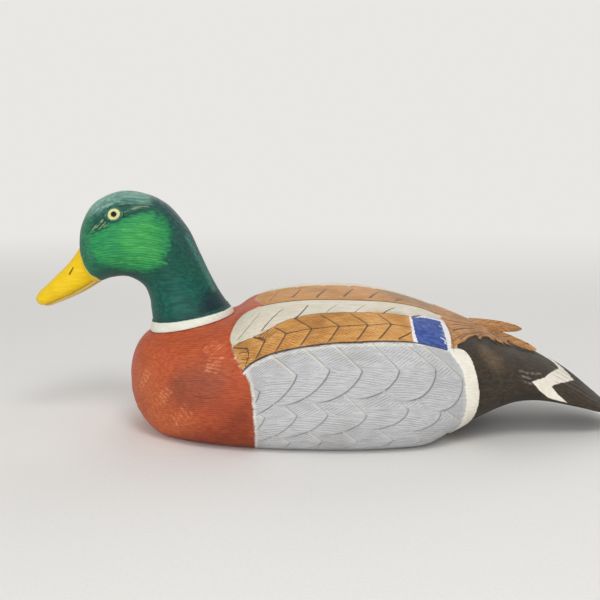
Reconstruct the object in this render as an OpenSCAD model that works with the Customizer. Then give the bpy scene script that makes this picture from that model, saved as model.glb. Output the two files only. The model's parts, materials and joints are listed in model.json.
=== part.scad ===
// Floating duck decoy: a hollow carved body on a flat bottom board, and a carved head
// that turns on a stud through the neck seat. The bill points to -X and +Z is up.

/* [Body] */
// Length of the carved body from breast to tail tip
body_length = 336; // [310:1:370]
// Width of the body at its widest
body_width = 151; // [140:1:170]
// Height of the back above the underside
body_height = 96; // [90:1:110]
// Distance from the origin back to the tail tip
tail_reach = 200; // [180:1:220]
// Rounding of the breast seen from above
breast_round = 62; // [50:1:75]
// Rounding of the breast under its upper lip
breast_lip = 15; // [10:1:22]
// Rounding of the breast down to the underside
breast_foot = 34; // [22:1:40]
// Rounding of the tail tip seen from above
tail_round = 26; // [18:1:30]
// Blend of the shoulder into the neck seat
flare_fillet = 6; // [3:0.5:9]

/* [Bottom board and hollow] */
// Thickness of the bottom board
board_thickness = 16; // [15:0.5:20]
// Wood left beside the hollow
side_wall = 18; // [14:0.5:24]
// Wood left above the hollow
top_wall = 18; // [16:0.5:24]
// Solid wood between the breast and the hollow
breast_block = 27; // [26:1:32]
// Solid wood between the hollow and the tail tip
tail_block = 134; // [128:1:150]
// Rounding of the hollow's ends
hollow_round = 24; // [14:1:30]
// Diameter of the dowels across the seam
dowel_d = 8; // [6:0.5:9]
// Length of the dowels across the seam
dowel_length = 20; // [14:1:22]
// Distance between the two dowels of a pair
dowel_spread = 36; // [28:1:44]
// Wood left between a dowel and the hollow
dowel_cover = 5; // [4:0.5:6]

/* [Neck] */
// Diameter of the neck seat and of the collar's foot
neck_d = 59; // [54:0.5:64]
// Distance from the breast back to the neck axis
neck_setback = 43; // [41:0.5:47]
// Forward lean of the neck axis in degrees
neck_tilt = 12; // [8:0.5:15]
// Height of the collar
collar_height = 7.5; // [5:0.5:10]
// How far the collar draws in towards its top
collar_taper = 1.8; // [0.5:0.1:2.5]
// Step from the collar's top edge in to the neck
collar_step = 1.2; // [0.6:0.1:3]

/* [Head] */
// Height of the crown above the neck seat
head_height = 97; // [90:1:108]
// Distance from the neck axis forward to the face
head_reach = 64; // [58:1:70]
// Width of the head across the cheeks
head_width = 54; // [48:1:60]
// How much narrower the crown is than the cheeks
crown_pinch = 0.10; // [0:0.01:0.2]

/* [Bill] */
// Length of the bill from its root inside the face to the tip
bill_length = 49; // [42:1:56]
// Width of the bill
bill_width = 25; // [20:0.5:28]
// Depth of the bill at its root
bill_depth = 27; // [24:0.5:30]
// Droop of the bill below the neck seat's plane in degrees
bill_droop = 22.5; // [16:0.5:28]
// Rounding of the bill's tip
bill_tip_round = 8; // [5:0.5:11]
// Diameter of the bill's dowel
bill_dowel_d = 8; // [6:0.5:9]
// Depth of the bill's dowel on each side of the bill's root
bill_dowel_reach = 16; // [12:1:18]

/* [Eyes] */
// Diameter of the glass eyes
eye_d = 10; // [8:0.5:11]
// How far an eye stands out of the head
eye_bulge = 2.2; // [1.5:0.1:3]
// Width of the putty around an eye
putty_width = 1.6; // [1.2:0.1:2.4]
// How far the putty ring stands out of the head
putty_rise = 0.9; // [0.5:0.1:1.3]

/* [Wing tips] */
// Length of the left wing tip from its root inside the rump
left_tip_length = 46; // [38:1:52]
// Length of the right wing tip from its root inside the rump
right_tip_length = 37; // [32:1:44]
// Width of a wing tip
tip_width = 13; // [10:0.5:15]
// Thickness of a wing tip at its root
tip_thickness = 2.6; // [2:0.1:3.2]
// Distance from the tail tip forward to the wing tips' roots
tip_setback = 100; // [94:1:106]
// Distance of each wing tip from the centre line
tip_offset = 8; // [7:0.5:12]
// Downward slope of the left wing tip in degrees
left_tip_slope = 20; // [16:0.5:22]
// Downward slope of the right wing tip in degrees
right_tip_slope = 7; // [4:0.5:12]
// Sideways tilt of the left wing tip in degrees, with its outer edge down
left_tip_roll = 28; // [15:1:35]
// Sideways tilt of the right wing tip in degrees, with its outer edge up, as folded wings cross
right_tip_roll = 28; // [15:1:35]

/* [Head fastening] */
// Diameter of the neck stud
stud_d = 8; // [6:0.5:10]
// Length of the stud glued into the head
stud_grip = 40; // [30:1:48]
// Stud left below the nut
stud_tail = 4; // [2:0.5:8]
// Wood between the neck seat and the washer
shelf_thickness = 15; // [12:0.5:15]
// Diameter of the cork seal
seal_d = 30; // [24:1:40]
// Thickness of the cork seal
seal_thickness = 3; // [2:0.5:5]
// Diameter of the flat washer
washer_d = 24; // [20:0.5:26]
// Thickness of the flat washer
washer_thickness = 2; // [1.5:0.1:3]
// Diameter of the spring washer
spring_d = 16; // [14:0.5:18]
// Thickness of the spring washer's sheet
spring_thickness = 1.2; // [0.8:0.1:1.6]
// Dish of the spring washer
spring_dish = 0.8; // [0.4:0.1:1.4]
// Width of the nut across its flats
nut_flats = 13; // [12.5:0.5:17]
// Height of the nut
nut_height = 8; // [6:0.5:10]

/* [Ballast] */
// Length of the ballast plate
ballast_length = 74; // [60:1:84]
// Width of the ballast plate
ballast_width = 38; // [32:1:46]
// Thickness of the ballast plate
ballast_thickness = 7; // [5:0.5:8]
// How deep the plate lies above the underside
ballast_recess = 0.6; // [0.4:0.1:1.5]
// Distance from the origin back to the plate's middle
ballast_x = 8; // [0:1:14]
// Diameter of the ballast screws
screw_d = 4; // [3:0.5:5]
// Diameter of the screws' countersunk heads
screw_head_d = 8; // [7:0.5:9]
// Length of the screws
screw_length = 13; // [11:0.5:14]
// Width of the screws' slots
screw_slot = 1.2; // [0.8:0.1:1.6]
// Distance from the plate's edges in to the screws
screw_inset = 8; // [7:0.5:11]

/* [Line ring] */
// Distance from the breast back to the line staple
staple_setback = 52; // [46:1:60]
// Wire thickness of the staple
staple_wire = 2.4; // [2:0.1:2.8]
// Distance between the staple's legs
staple_span = 10; // [9:0.5:12]
// Depth of the staple's legs in the board
staple_grip = 6; // [4:0.5:6.5]
// Height of the staple's lowest side above the underside
staple_rise = 0.4; // [0.3:0.1:0.8]
// Outside diameter of the line ring
ring_d = 21; // [18:0.5:24]
// Wire thickness of the line ring
ring_wire = 2.6; // [2:0.1:3]
// Room around the ring in its pocket
pocket_room = 1.4; // [1:0.1:2.5]

/* [Fits] */
// Gap around glued and driven pieces
fit_gap = 0.1; // [0.05:0.01:0.15]
// Gap between the turning head and the body
turn_gap = 0.2; // [0.15:0.01:0.3]
// Gap around the stud in the body
stud_gap = 0.08; // [0.05:0.01:0.1]
// Gap between the line ring and the staple
link_gap = 0.4; // [0.3:0.05:0.6]

/* [Hidden] */

// Smoothness of round pieces
$fn = 48;
// Facets around and along the carved forms
body_sides = 40;
body_steps = 46;
hollow_sides = 14;
hollow_steps = 14;
head_sides = 28;
head_steps = 26;
bill_sides = 20;
bill_steps = 16;
tip_sides = 8;
tip_steps = 9;

// Lines of the carved body: place along the length, then share of the height or half width
TOP_LINE = [
    [0, 0.67], [0.04, 0.69], [0.11, 0.74], [0.21, 0.82], [0.245, 0.895], [0.29, 0.955],
    [0.35, 0.99], [0.42, 1], [0.49, 0.985], [0.56, 0.935], [0.63, 0.85], [0.70, 0.755],
    [0.77, 0.65], [0.84, 0.53], [0.90, 0.405], [0.96, 0.235], [1, 0.115]
];
FOOT_LINE = [
    [0, -0.04], [0.58, -0.04], [0.65, 0.03], [0.70, 0.10], [0.74, 0.17], [0.78, 0.22],
    [0.83, 0.23], [0.89, 0.20], [0.95, 0.155], [1, 0.10]
];
WIDE_LINE = [
    [0, 0.77], [0.08, 0.77], [0.14, 0.81], [0.20, 0.88], [0.29, 0.96], [0.41, 1], [0.48, 1],
    [0.56, 0.96], [0.63, 0.88], [0.69, 0.76], [0.74, 0.66], [0.80, 0.58], [0.86, 0.52],
    [0.92, 0.46], [1, 0.40]
];
BEAM_LINE = [
    [0, 0.36], [0.23, 0.40], [0.40, 0.42], [0.60, 0.42], [0.70, 0.40], [0.80, 0.34],
    [0.88, 0.25], [1, 0.107]
];
// Fullness of the body's sections above and below the beam
CROWN_LINE = [[0, 2.4], [0.12, 2.9], [0.20, 2.8], [0.50, 2.8], [0.66, 2.4], [0.80, 1.9], [1, 1.7]];
BILGE_LINE = [[0, 2.6], [0.22, 4], [0.55, 4], [0.68, 2.6], [0.80, 2.2], [1, 2.2]];
// Height of the breast's foremost point as a share of the body's height
BREAST_SHARE = 0.36;
// Fullness of the hollow's arch
HOLLOW_FULLNESS = 2.4;
// Fall of the shoulder around the neck seat
FLARE_SLOPE = 1.8;
// Where the bottom board ends under the rump, as a share of the length
BOARD_SHARE = 0.8;

// Stations of the head above its foot: throat x and z, nape x and z, and half width, as shares
HEAD_LINE = [
    [-0.40, 0.165, 0.36, 0.17, 0.905], [-0.39, 0.24, 0.30, 0.31, 0.85],
    [-0.42, 0.33, 0.247, 0.47, 0.86], [-0.55, 0.407, 0.17, 0.675, 0.945],
    [-0.717, 0.425, -0.026, 0.886, 1], [-0.848, 0.416, -0.373, 1, 0.955],
    [-0.93, 0.417, -0.70, 0.97, 0.815], [-0.965, 0.455, -0.89, 0.85, 0.63],
    [-0.99, 0.547, -0.965, 0.717, 0.33], [-0.995, 0.616, -0.99, 0.657, 0.09]
];
// Station and angle of the eyes on the head
EYE_STATION = 6;
EYE_ANGLE = 58;
// Place of the bill's root in the head as shares of reach and height
BILL_ROOT = [-0.875, 0.567];

// Lines of the bill: place along the length, then share of the depth or half width
BILL_TOP_LINE = [[-0.2, 0.5], [0, 0.5], [0.18, 0.39], [0.36, 0.30], [0.54, 0.25], [0.71, 0.2], [1, 0.14]];
BILL_FOOT_LINE = [
    [-0.2, -0.55], [0, -0.53], [0.31, -0.5], [0.48, -0.46], [0.65, -0.40], [0.81, -0.33], [1, -0.25]
];
BILL_WIDE_LINE = [[-0.2, 1], [0, 1], [0.2, 0.95], [0.4, 0.94], [0.6, 0.97], [0.75, 1], [1, 0.94]];
BILL_BACK = -0.2;
BILL_FULLNESS = 2.3;

// Small sizes that keep cuts and ends clean
end_skim = 0.3;
seat_skim = 0.8;
cut_over = 2;

// Places worked out from the sizes above
breast_x = tail_reach - body_length;
breast_z = BREAST_SHARE * body_height;
neck_x = breast_x + neck_setback;
neck_z = body_height * curve(TOP_LINE, neck_setback / body_length);
neck_r = neck_d / 2;
hollow_front = breast_block;
hollow_rear = body_length - tail_block;
dowel_front = hollow_front - dowel_cover - dowel_d / 2;
dowel_rear = hollow_rear + dowel_cover + dowel_d / 2;
washer_z = -shelf_thickness - turn_gap;
spring_z = washer_z - washer_thickness;
nut_z = spring_z - spring_thickness - spring_dish;
stud_low = nut_z - nut_height - stud_tail;
stud_high = collar_height + stud_grip;
bill_root = [BILL_ROOT[0] * head_reach, 0, BILL_ROOT[1] * head_height];
socket_r = eye_d / 2 + putty_width;
staple_x = breast_x + staple_setback;
crown_z = staple_rise + staple_wire / 2;
link_z = crown_z + (staple_wire + ring_wire) / 2 + link_gap;
ring_r = (ring_d - ring_wire) / 2;
ring_sag = asin((link_z - ring_wire / 2 - turn_gap) / (2 * ring_r));
pocket_depth = link_z + ring_wire / 2 + link_gap;
tip_s = body_length - tip_setback;

// Smooth curve through a list of points
function slope_at(p, i) =
    let (a = max(i - 1, 0), b = min(i + 1, len(p) - 1))
    (p[b][1] - p[a][1]) / (p[b][0] - p[a][0]);
function span_at(p, x, i = 0) = i >= len(p) - 2 || x < p[i + 1][0] ? i : span_at(p, x, i + 1);
function blend(a, b, da, db, t) =
    a * (1 + 2 * t) * pow(1 - t, 2) + da * t * pow(1 - t, 2)
    + b * t * t * (3 - 2 * t) + db * t * t * (t - 1);
function curve(p, x) =
    let (i = span_at(p, x), h = p[i + 1][0] - p[i][0], t = (x - p[i][0]) / h)
    blend(p[i][1], p[i + 1][1], slope_at(p, i) * h, slope_at(p, i + 1) * h, t);

// Share of the full size at a distance from a rounded end
function rounded(distance, radius) =
    let (d = min(max(distance / radius, 0), 1))
    sqrt(1 - pow(1 - d, 2));
function power(value, exponent) = sign(value) * pow(abs(value), exponent);

// Steps from 0 to 1 that crowd towards both ends
function eased(i, steps) = i / steps - 0.13 * sin(360 * i / steps);

// Carved body
function body_half(s) =
    body_width / 2 * curve(WIDE_LINE, s / body_length)
    * rounded(s, breast_round) * rounded(body_length - s, tail_round);
function body_top(s) =
    breast_z + (body_height * curve(TOP_LINE, s / body_length) - breast_z) * rounded(s, breast_lip);
function body_foot(s) =
    breast_z + (body_height * curve(FOOT_LINE, s / body_length) - breast_z) * rounded(s, breast_foot);
function neck_flare(x, y) =
    neck_z + seat_skim + (x - neck_x) * tan(neck_tilt)
    - FLARE_SLOPE * max(0, norm([(x - neck_x) / cos(neck_tilt), y]) - neck_r);
function soft_max(a, b, fillet) = max(a, b) + pow(max(fillet - abs(a - b), 0), 2) / (4 * fillet);
function body_ring(s) =
    let (
        x = breast_x + s,
        half = body_half(s),
        top = body_top(s),
        foot = body_foot(s),
        beam = body_height * curve(BEAM_LINE, s / body_length),
        up = 2 / curve(CROWN_LINE, s / body_length),
        down = 2 / curve(BILGE_LINE, s / body_length)
    )
    [for (i = [0 : body_sides - 1])
        let (
            a = 360 * i / body_sides,
            upper = sin(a) > 0,
            y = half * power(cos(a), upper ? up : down),
            z = beam + (upper ? top - beam : beam - foot) * power(sin(a), upper ? up : down)
        )
        [x, y, upper ? soft_max(z, neck_flare(x, y), flare_fillet) : z]];

// Hollow of the upper body, open at the seam
function hollow_ring(s) =
    let (
        end = rounded(s - hollow_front, hollow_round) * rounded(hollow_rear - s, hollow_round),
        half = (body_half(s) - side_wall) * end,
        rise = (body_top(s) - top_wall - board_thickness) * (1 + end) / 2
    )
    [for (i = [0 : hollow_sides])
        let (a = 180 * i / hollow_sides)
        [
            breast_x + s,
            half * power(cos(a), 2 / HOLLOW_FULLNESS),
            i == 0 || i == hollow_sides ? board_thickness - cut_over
                : board_thickness + rise * power(sin(a), 2 / HOLLOW_FULLNESS)
        ]];

// Head stations run from the collar up the neck and forward to the face
foot_r = neck_r - collar_taper - collar_step;
HEAD_STATIONS = concat(
    [[-foot_r, collar_height, foot_r, collar_height, foot_r]],
    [for (h = HEAD_LINE)
        [
            h[0] * head_reach, h[1] * head_height, h[2] * head_reach, h[3] * head_height,
            h[4] * head_width / 2
        ]]
);
function head_value(k, column) =
    curve([for (i = [0 : len(HEAD_STATIONS) - 1]) [i, HEAD_STATIONS[i][column]]], k);
function head_point(k, a) =
    let (v = [for (c = [0 : 4]) head_value(k, c)], pinch = crown_pinch * min(k / 3, 1))
    [
        (v[0] + v[2]) / 2 + (v[2] - v[0]) / 2 * cos(a),
        v[4] * sin(a) * (1 - pinch * cos(a)),
        (v[1] + v[3]) / 2 + (v[3] - v[1]) / 2 * cos(a)
    ];
function head_ring(k) = [for (i = [0 : head_sides - 1]) head_point(k, 360 * i / head_sides)];
function head_normal(k, a) =
    let (
        around = head_point(k, a + 1) - head_point(k, a - 1),
        along = head_point(k + 0.05, a) - head_point(k - 0.05, a),
        n = cross(around, along)
    )
    n / norm(n);

// Bill in its own frame, pointing along +X from its root
function bill_ring(t) =
    let (
        end = rounded((1 - t) * bill_length, bill_tip_round),
        top = bill_depth * curve(BILL_TOP_LINE, t) * end,
        foot = bill_depth * curve(BILL_FOOT_LINE, t) * end,
        half = bill_width / 2 * curve(BILL_WIDE_LINE, t) * end
    )
    [for (i = [0 : bill_sides - 1])
        let (a = 360 * i / bill_sides)
        [
            t * bill_length,
            half * power(cos(a), 2 / BILL_FULLNESS),
            (top + foot) / 2 + (top - foot) / 2 * power(sin(a), 2 / BILL_FULLNESS)
        ]];

// Wing tip in its own frame, a leaf that points along +X and lifts towards its end
function tip_ring(length, t, grow) =
    let (
        half = tip_width / 2 * sqrt(1 - pow((t - 0.35) / 0.66, 2)) + grow,
        thick = tip_thickness / 2 * (1 - 0.5 * t) + grow
    )
    [for (i = [0 : tip_sides - 1])
        let (a = 360 * (i + 0.5) / tip_sides)
        [t * length, half * cos(a), thick * sin(a)]];

// Closed solid through a list of rings
module loft(rings) {
    sides = len(rings[0]);
    last = len(rings) - 1;
    middle = [for (ring = [rings[0], rings[last]]) [for (p = ring) 1] * ring / sides];
    points = concat([for (ring = rings) each ring], middle);
    walls = [for (i = [0 : last - 1], j = [0 : sides - 1])
        let (a = i * sides + j, b = i * sides + (j + 1) % sides)
        each [[a, a + sides, b + sides], [a, b + sides, b]]];
    front = [for (j = [0 : sides - 1]) [len(points) - 2, j, (j + 1) % sides]];
    back = [for (j = [0 : sides - 1]) [len(points) - 1, last * sides + (j + 1) % sides, last * sides + j]];
    polyhedron(points, concat(front, walls, back));
}

// Frames of the pieces
module at_neck() {
    translate([neck_x, 0, neck_z]) rotate([0, -neck_tilt, 0]) children();
}
module at_bill() {
    at_neck() translate(bill_root) rotate([0, -bill_droop, 0]) mirror([1, 0, 0]) children();
}
module at_eye(side) {
    spot = head_point(EYE_STATION, EYE_ANGLE * side);
    out = head_normal(EYE_STATION, EYE_ANGLE * side);
    at_neck() translate(spot) rotate([0, acos(out.z), atan2(out.y, out.x)]) children();
}
module at_tip(side, slope, roll) {
    translate([breast_x + tip_s, side * tip_offset, body_top(tip_s) - tip_thickness])
        rotate([0, slope, 0]) rotate([roll, 0, 0]) children();
}
module at_dowels() {
    for (s = [dowel_front, dowel_rear], side = [-1, 1])
        translate([breast_x + s, side * dowel_spread / 2, board_thickness]) children();
}
module at_screws() {
    for (x = [-1, 1], y = [-1, 1])
        translate([
            ballast_x + x * (ballast_length / 2 - screw_inset),
            y * (ballast_width / 2 - screw_inset),
            ballast_recess
        ]) children();
}
module at_ring() {
    translate([staple_x, 0, link_z]) rotate([0, ring_sag, 0]) translate([ring_r, 0, 0]) children();
}

// Whole forms that the pieces are cut from
module body_form() {
    loft([for (i = [0 : body_steps])
        body_ring(min(max(body_length * eased(i, body_steps), end_skim), body_length - end_skim))]);
}
module board_zone(low) {
    translate([breast_x - cut_over, -body_width, low])
        cube([BOARD_SHARE * body_length + cut_over, 2 * body_width, board_thickness - low]);
}
module hollow_form() {
    first = hollow_front + end_skim;
    run = hollow_rear - hollow_front - 2 * end_skim;
    loft([for (i = [0 : hollow_steps]) hollow_ring(first + run * eased(i, hollow_steps))]);
}
module head_form() {
    loft([for (i = [0 : head_steps]) head_ring((len(HEAD_STATIONS) - 1) * i / head_steps)]);
}
module bill_form() {
    loft([for (i = [0 : bill_steps])
        bill_ring(BILL_BACK + (1 - BILL_BACK - end_skim / bill_length) * sin(90 * i / bill_steps))]);
}
module tip_form(length, grow) {
    loft([for (i = [0 : tip_steps]) tip_ring(length, i / tip_steps, grow)]);
}
module left_tip_form(grow) {
    at_tip(-1, left_tip_slope, left_tip_roll) tip_form(left_tip_length, grow);
}
module right_tip_form(grow) {
    at_tip(1, right_tip_slope, right_tip_roll) tip_form(right_tip_length, grow);
}
module rod(d, low, high) {
    translate([0, 0, low]) cylinder(d = d, h = high - low);
}

// Decoy body
module body_upper() {
    color("saddlebrown") difference() {
        body_form();
        board_zone(-body_height);
        hollow_form();
        at_neck() {
            rod(neck_d + 2 * turn_gap, 0, neck_d);
            rod(seal_d + 2 * fit_gap, -seal_thickness, cut_over);
            rod(stud_d + 2 * stud_gap, -shelf_thickness - cut_over, cut_over);
            rod(washer_d + 2 * cut_over, stud_low - cut_over, -shelf_thickness);
        }
        at_dowels() rod(dowel_d + 2 * fit_gap, -cut_over, dowel_length / 2 + fit_gap);
        left_tip_form(fit_gap);
        right_tip_form(fit_gap);
    }
}

module body_bottom() {
    color("silver") difference() {
        intersection() {
            body_form();
            board_zone(0);
        }
        at_dowels() rod(dowel_d + 2 * fit_gap, -dowel_length / 2 - fit_gap, cut_over);
        translate([
            ballast_x - ballast_length / 2 - fit_gap,
            -ballast_width / 2 - fit_gap,
            -cut_over
        ]) cube([
            ballast_length + 2 * fit_gap,
            ballast_width + 2 * fit_gap,
            ballast_recess + ballast_thickness + cut_over
        ]);
        at_screws() rod(screw_d + 2 * fit_gap, 0, screw_length + fit_gap);
        for (x = [staple_x, staple_x + ring_r])
            translate([x, 0, 0]) rod(ring_d + 2 * pocket_room, -cut_over, pocket_depth);
        for (side = [-1, 1])
            translate([staple_x + side * staple_span / 2, 0, 0])
                rod(staple_wire + 2 * fit_gap, 0, pocket_depth + staple_grip + fit_gap);
    }
}

module seam_dowels() {
    color("burlywood") at_dowels() rod(dowel_d, -dowel_length / 2, dowel_length / 2);
}

module left_wing_tip() {
    color("sienna") left_tip_form(0);
}

module right_wing_tip() {
    color("sienna") right_tip_form(0);
}

module neck_seal() {
    color("peru") at_neck() difference() {
        rod(seal_d, -seal_thickness, 0);
        rod(stud_d + 2 * stud_gap, -seal_thickness - cut_over, cut_over);
    }
}

// Ballast on the underside
module ballast_weight() {
    color("dimgray") difference() {
        translate([ballast_x - ballast_length / 2, -ballast_width / 2, ballast_recess])
            cube([ballast_length, ballast_width, ballast_thickness]);
        at_screws() {
            rod(screw_d + 2 * fit_gap, -cut_over, screw_length);
            cylinder(
                d1 = screw_head_d + 2 * fit_gap,
                d2 = screw_d + 2 * fit_gap,
                h = (screw_head_d - screw_d) / 2
            );
        }
    }
}

module ballast_screws() {
    head = (screw_head_d - screw_d) / 2;
    color("goldenrod") at_screws() difference() {
        rotate_extrude() polygon([
            [0, 0], [screw_head_d / 2, 0], [screw_d / 2, head], [screw_d / 2, screw_length - screw_d / 2],
            [0, screw_length]
        ]);
        translate([-screw_head_d, -screw_slot / 2, -cut_over])
            cube([2 * screw_head_d, screw_slot, cut_over + head / 2]);
    }
}

// Line tie on the underside
module line_staple() {
    color("darkgoldenrod") translate([staple_x, 0, crown_z]) {
        translate([-staple_span / 2, 0, 0]) rotate([0, 90, 0]) cylinder(d = staple_wire, h = staple_span);
        for (side = [-1, 1])
            translate([side * staple_span / 2, 0, 0]) {
                sphere(d = staple_wire);
                cylinder(d = staple_wire, h = pocket_depth + staple_grip - crown_z);
            }
    }
}

module line_ring() {
    color("darkgoldenrod") at_ring() rotate_extrude() translate([ring_r, 0]) circle(d = ring_wire);
}

// Turning head
module head() {
    color("darkgreen") difference() {
        at_neck() head_form();
        at_neck() rod(stud_d + 2 * fit_gap, -cut_over, stud_high + fit_gap);
        at_bill() rotate([0, -90, 0])
            rod(bill_dowel_d + 2 * fit_gap, -2 * bill_dowel_reach, bill_dowel_reach + fit_gap);
        for (side = [-1, 1]) at_eye(side) rod(2 * (socket_r + fit_gap), eye_bulge - eye_d - fit_gap, eye_d);
    }
}

module neck_collar() {
    color("ivory") at_neck() difference() {
        translate([0, 0, turn_gap])
            cylinder(r1 = neck_r, r2 = neck_r - collar_taper, h = collar_height - turn_gap);
        rod(stud_d + 2 * fit_gap, -cut_over, collar_height + cut_over);
    }
}

module bill() {
    color("gold") difference() {
        at_bill() bill_form();
        at_neck() head_form();
        at_bill() rotate([0, -90, 0])
            rod(bill_dowel_d + 2 * fit_gap, -bill_dowel_reach - fit_gap, bill_dowel_reach);
    }
}

module bill_dowel() {
    color("burlywood") at_bill() rotate([0, -90, 0]) rod(bill_dowel_d, -bill_dowel_reach, bill_dowel_reach);
}

module glass_eye(side) {
    color("khaki") at_eye(side) translate([0, 0, eye_bulge - eye_d / 2]) sphere(d = eye_d);
}

module eye_putty(side) {
    color("darkolivegreen") at_eye(side) difference() {
        union() {
            rod(2 * socket_r, eye_bulge - eye_d, 0);
            rotate_extrude() translate([socket_r - putty_rise, 0]) circle(r = putty_rise);
        }
        translate([0, 0, eye_bulge - eye_d / 2]) sphere(d = eye_d + 2 * fit_gap);
    }
}

module left_eye() {
    glass_eye(-1);
}

module right_eye() {
    glass_eye(1);
}

module left_eye_putty() {
    eye_putty(-1);
}

module right_eye_putty() {
    eye_putty(1);
}

// Fastening of the head
module head_stud() {
    color("lightslategray") at_neck() rod(stud_d, stud_low, stud_high);
}

module head_washer() {
    color("lightslategray") at_neck() difference() {
        rod(washer_d, spring_z, washer_z);
        rod(stud_d + 2 * fit_gap, spring_z - cut_over, washer_z + cut_over);
    }
}

module spring_washer() {
    inner = stud_d / 2 + fit_gap;
    color("slategray") at_neck() rotate_extrude() polygon([
        [inner, nut_z], [spring_d / 2, nut_z + spring_dish], [spring_d / 2, spring_z],
        [inner, nut_z + spring_thickness]
    ]);
}

module lock_nut() {
    color("lightslategray") at_neck() difference() {
        translate([0, 0, nut_z - nut_height]) cylinder(d = nut_flats / cos(30), h = nut_height, $fn = 6);
        rod(stud_d + 2 * fit_gap, stud_low, nut_z + cut_over);
    }
}

body_upper();
body_bottom();
seam_dowels();
left_wing_tip();
right_wing_tip();
neck_seal();
ballast_weight();
ballast_screws();
line_staple();
line_ring();
head();
neck_collar();
bill();
bill_dowel();
left_eye();
right_eye();
left_eye_putty();
right_eye_putty();
head_stud();
head_washer();
spring_washer();
lock_nut();
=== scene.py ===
"""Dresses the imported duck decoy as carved, burnt and hand-painted wood with glass eyes.

The carved forms follow the same lines as the solids, in millimetres, and are wrapped from grids.
Feathers are cut into the grids as shallow steps and grooves. Each patch of paint is an outline or
a few brush strokes drawn on the surface, and every vertex keeps its distance from them, so that
the material can lay the paint with a brushed edge.
"""

import json
import logging
import math
from dataclasses import dataclass
from enum import Enum
from typing import Callable, ClassVar, Optional, Sequence, Union

import bmesh
import bpy
import numpy as np
from mathutils import Matrix, Vector


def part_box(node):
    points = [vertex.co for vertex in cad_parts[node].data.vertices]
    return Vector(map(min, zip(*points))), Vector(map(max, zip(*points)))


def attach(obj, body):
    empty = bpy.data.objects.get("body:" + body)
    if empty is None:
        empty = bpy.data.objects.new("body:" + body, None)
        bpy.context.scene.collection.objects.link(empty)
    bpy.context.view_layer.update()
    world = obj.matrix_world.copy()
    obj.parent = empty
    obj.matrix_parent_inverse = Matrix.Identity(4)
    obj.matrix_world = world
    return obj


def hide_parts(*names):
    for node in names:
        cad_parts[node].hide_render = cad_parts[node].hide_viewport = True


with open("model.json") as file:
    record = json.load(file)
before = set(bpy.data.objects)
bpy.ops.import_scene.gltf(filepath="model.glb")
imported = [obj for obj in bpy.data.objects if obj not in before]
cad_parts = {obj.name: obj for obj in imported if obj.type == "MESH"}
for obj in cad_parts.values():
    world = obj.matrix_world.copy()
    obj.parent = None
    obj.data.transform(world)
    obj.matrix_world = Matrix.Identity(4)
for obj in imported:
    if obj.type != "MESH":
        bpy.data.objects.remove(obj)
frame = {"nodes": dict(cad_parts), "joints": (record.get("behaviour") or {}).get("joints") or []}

LOG = logging.getLogger("decoy")
MM = 0.001
# How far marks keep count: in mm from a patch of paint, and in mm or widths from an edge or a cut
FAR = 20.0
NEAR = 9.0
# Distances from a border, in mm, between which fine scratched lines come in
COMB_FADE = (0.5, 1.8)
Pair = tuple[float, float]
Triple = tuple[float, float, float]
Line = Sequence[Pair]
Array = np.ndarray
Piece = bpy.types.Object
Socket = bpy.types.NodeSocket
Feed = Union[float, str, tuple, Socket, None]
Adder = Callable[..., Optional[Socket]]


class Body(Enum):
    """The bodies that pieces ride on."""

    DECOY = "decoy_body"
    HEAD = "turning_head"


class Side(Enum):
    """The two sides of the duck, by the sign of Y."""

    LEFT = -1
    RIGHT = 1

    @property
    def label(self) -> str:
        """Name of the side, as in the names of the nodes."""
        return self.name.lower()


class Part(Enum):
    """The two carved parts of the body, above and below the glued seam."""

    UPPER = "upper"
    BOARD = "board"


class Node(Enum):
    """The kinds of node in use: type, sockets in the order they are fed, output to read, settings."""

    PLACE = ("ShaderNodeTexCoord", (), "Object", {})
    MARK = ("ShaderNodeAttribute", (), "Fac", {})
    LIE = ("ShaderNodeMapping", ("Vector", "Scale"), 0, {})
    GRAIN = ("ShaderNodeTexNoise", ("Vector", "Scale", "Detail"), 0, {})
    LENGTH = ("ShaderNodeVectorMath", (0,), "Value", {"operation": "LENGTH"})
    SINE = ("ShaderNodeMath", (0,), 0, {"operation": "SINE"})
    SIZE = ("ShaderNodeMath", (0,), 0, {"operation": "ABSOLUTE"})
    TIMES = ("ShaderNodeMath", (0, 1), 0, {"operation": "MULTIPLY"})
    MOST = ("ShaderNodeMath", (0, 1), 0, {"operation": "MAXIMUM"})
    SUM = ("ShaderNodeMath", (0, 1, 2), 0, {"operation": "MULTIPLY_ADD"})
    RISE = (
        "ShaderNodeMapRange",
        ("Value", "From Min", "From Max", "To Max"),
        0,
        {"interpolation_type": "SMOOTHSTEP"},
    )
    LAYER = ("ShaderNodeMix", (0, 6, 7), 2, {"data_type": "RGBA"})
    BUMP = ("ShaderNodeBump", ("Height", "Distance"), 0, {})
    SURFACE = (
        "ShaderNodeBsdfPrincipled",
        (
            "Base Color", "Roughness", "Normal", "Specular IOR Level", "Metallic", "Emission Color",
            "Emission Strength",
        ),
        0,
        {},
    )
    OUTPUT = ("ShaderNodeOutputMaterial", ("Surface",), None, {})
    CAMERA_RAY = ("ShaderNodeLightPath", (), "Is Camera Ray", {})
    GLOSSY_RAY = ("ShaderNodeLightPath", (), "Is Glossy Ray", {})
    GLASS_RAY = ("ShaderNodeLightPath", (), "Is Transmission Ray", {})
    LIGHT = ("ShaderNodeBackground", ("Color", "Strength"), 0, {})
    SWITCH = ("ShaderNodeMixShader", (0, 1, 2), 0, {})
    WORLD = ("ShaderNodeOutputWorld", ("Surface",), None, {})


# Curves


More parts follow.
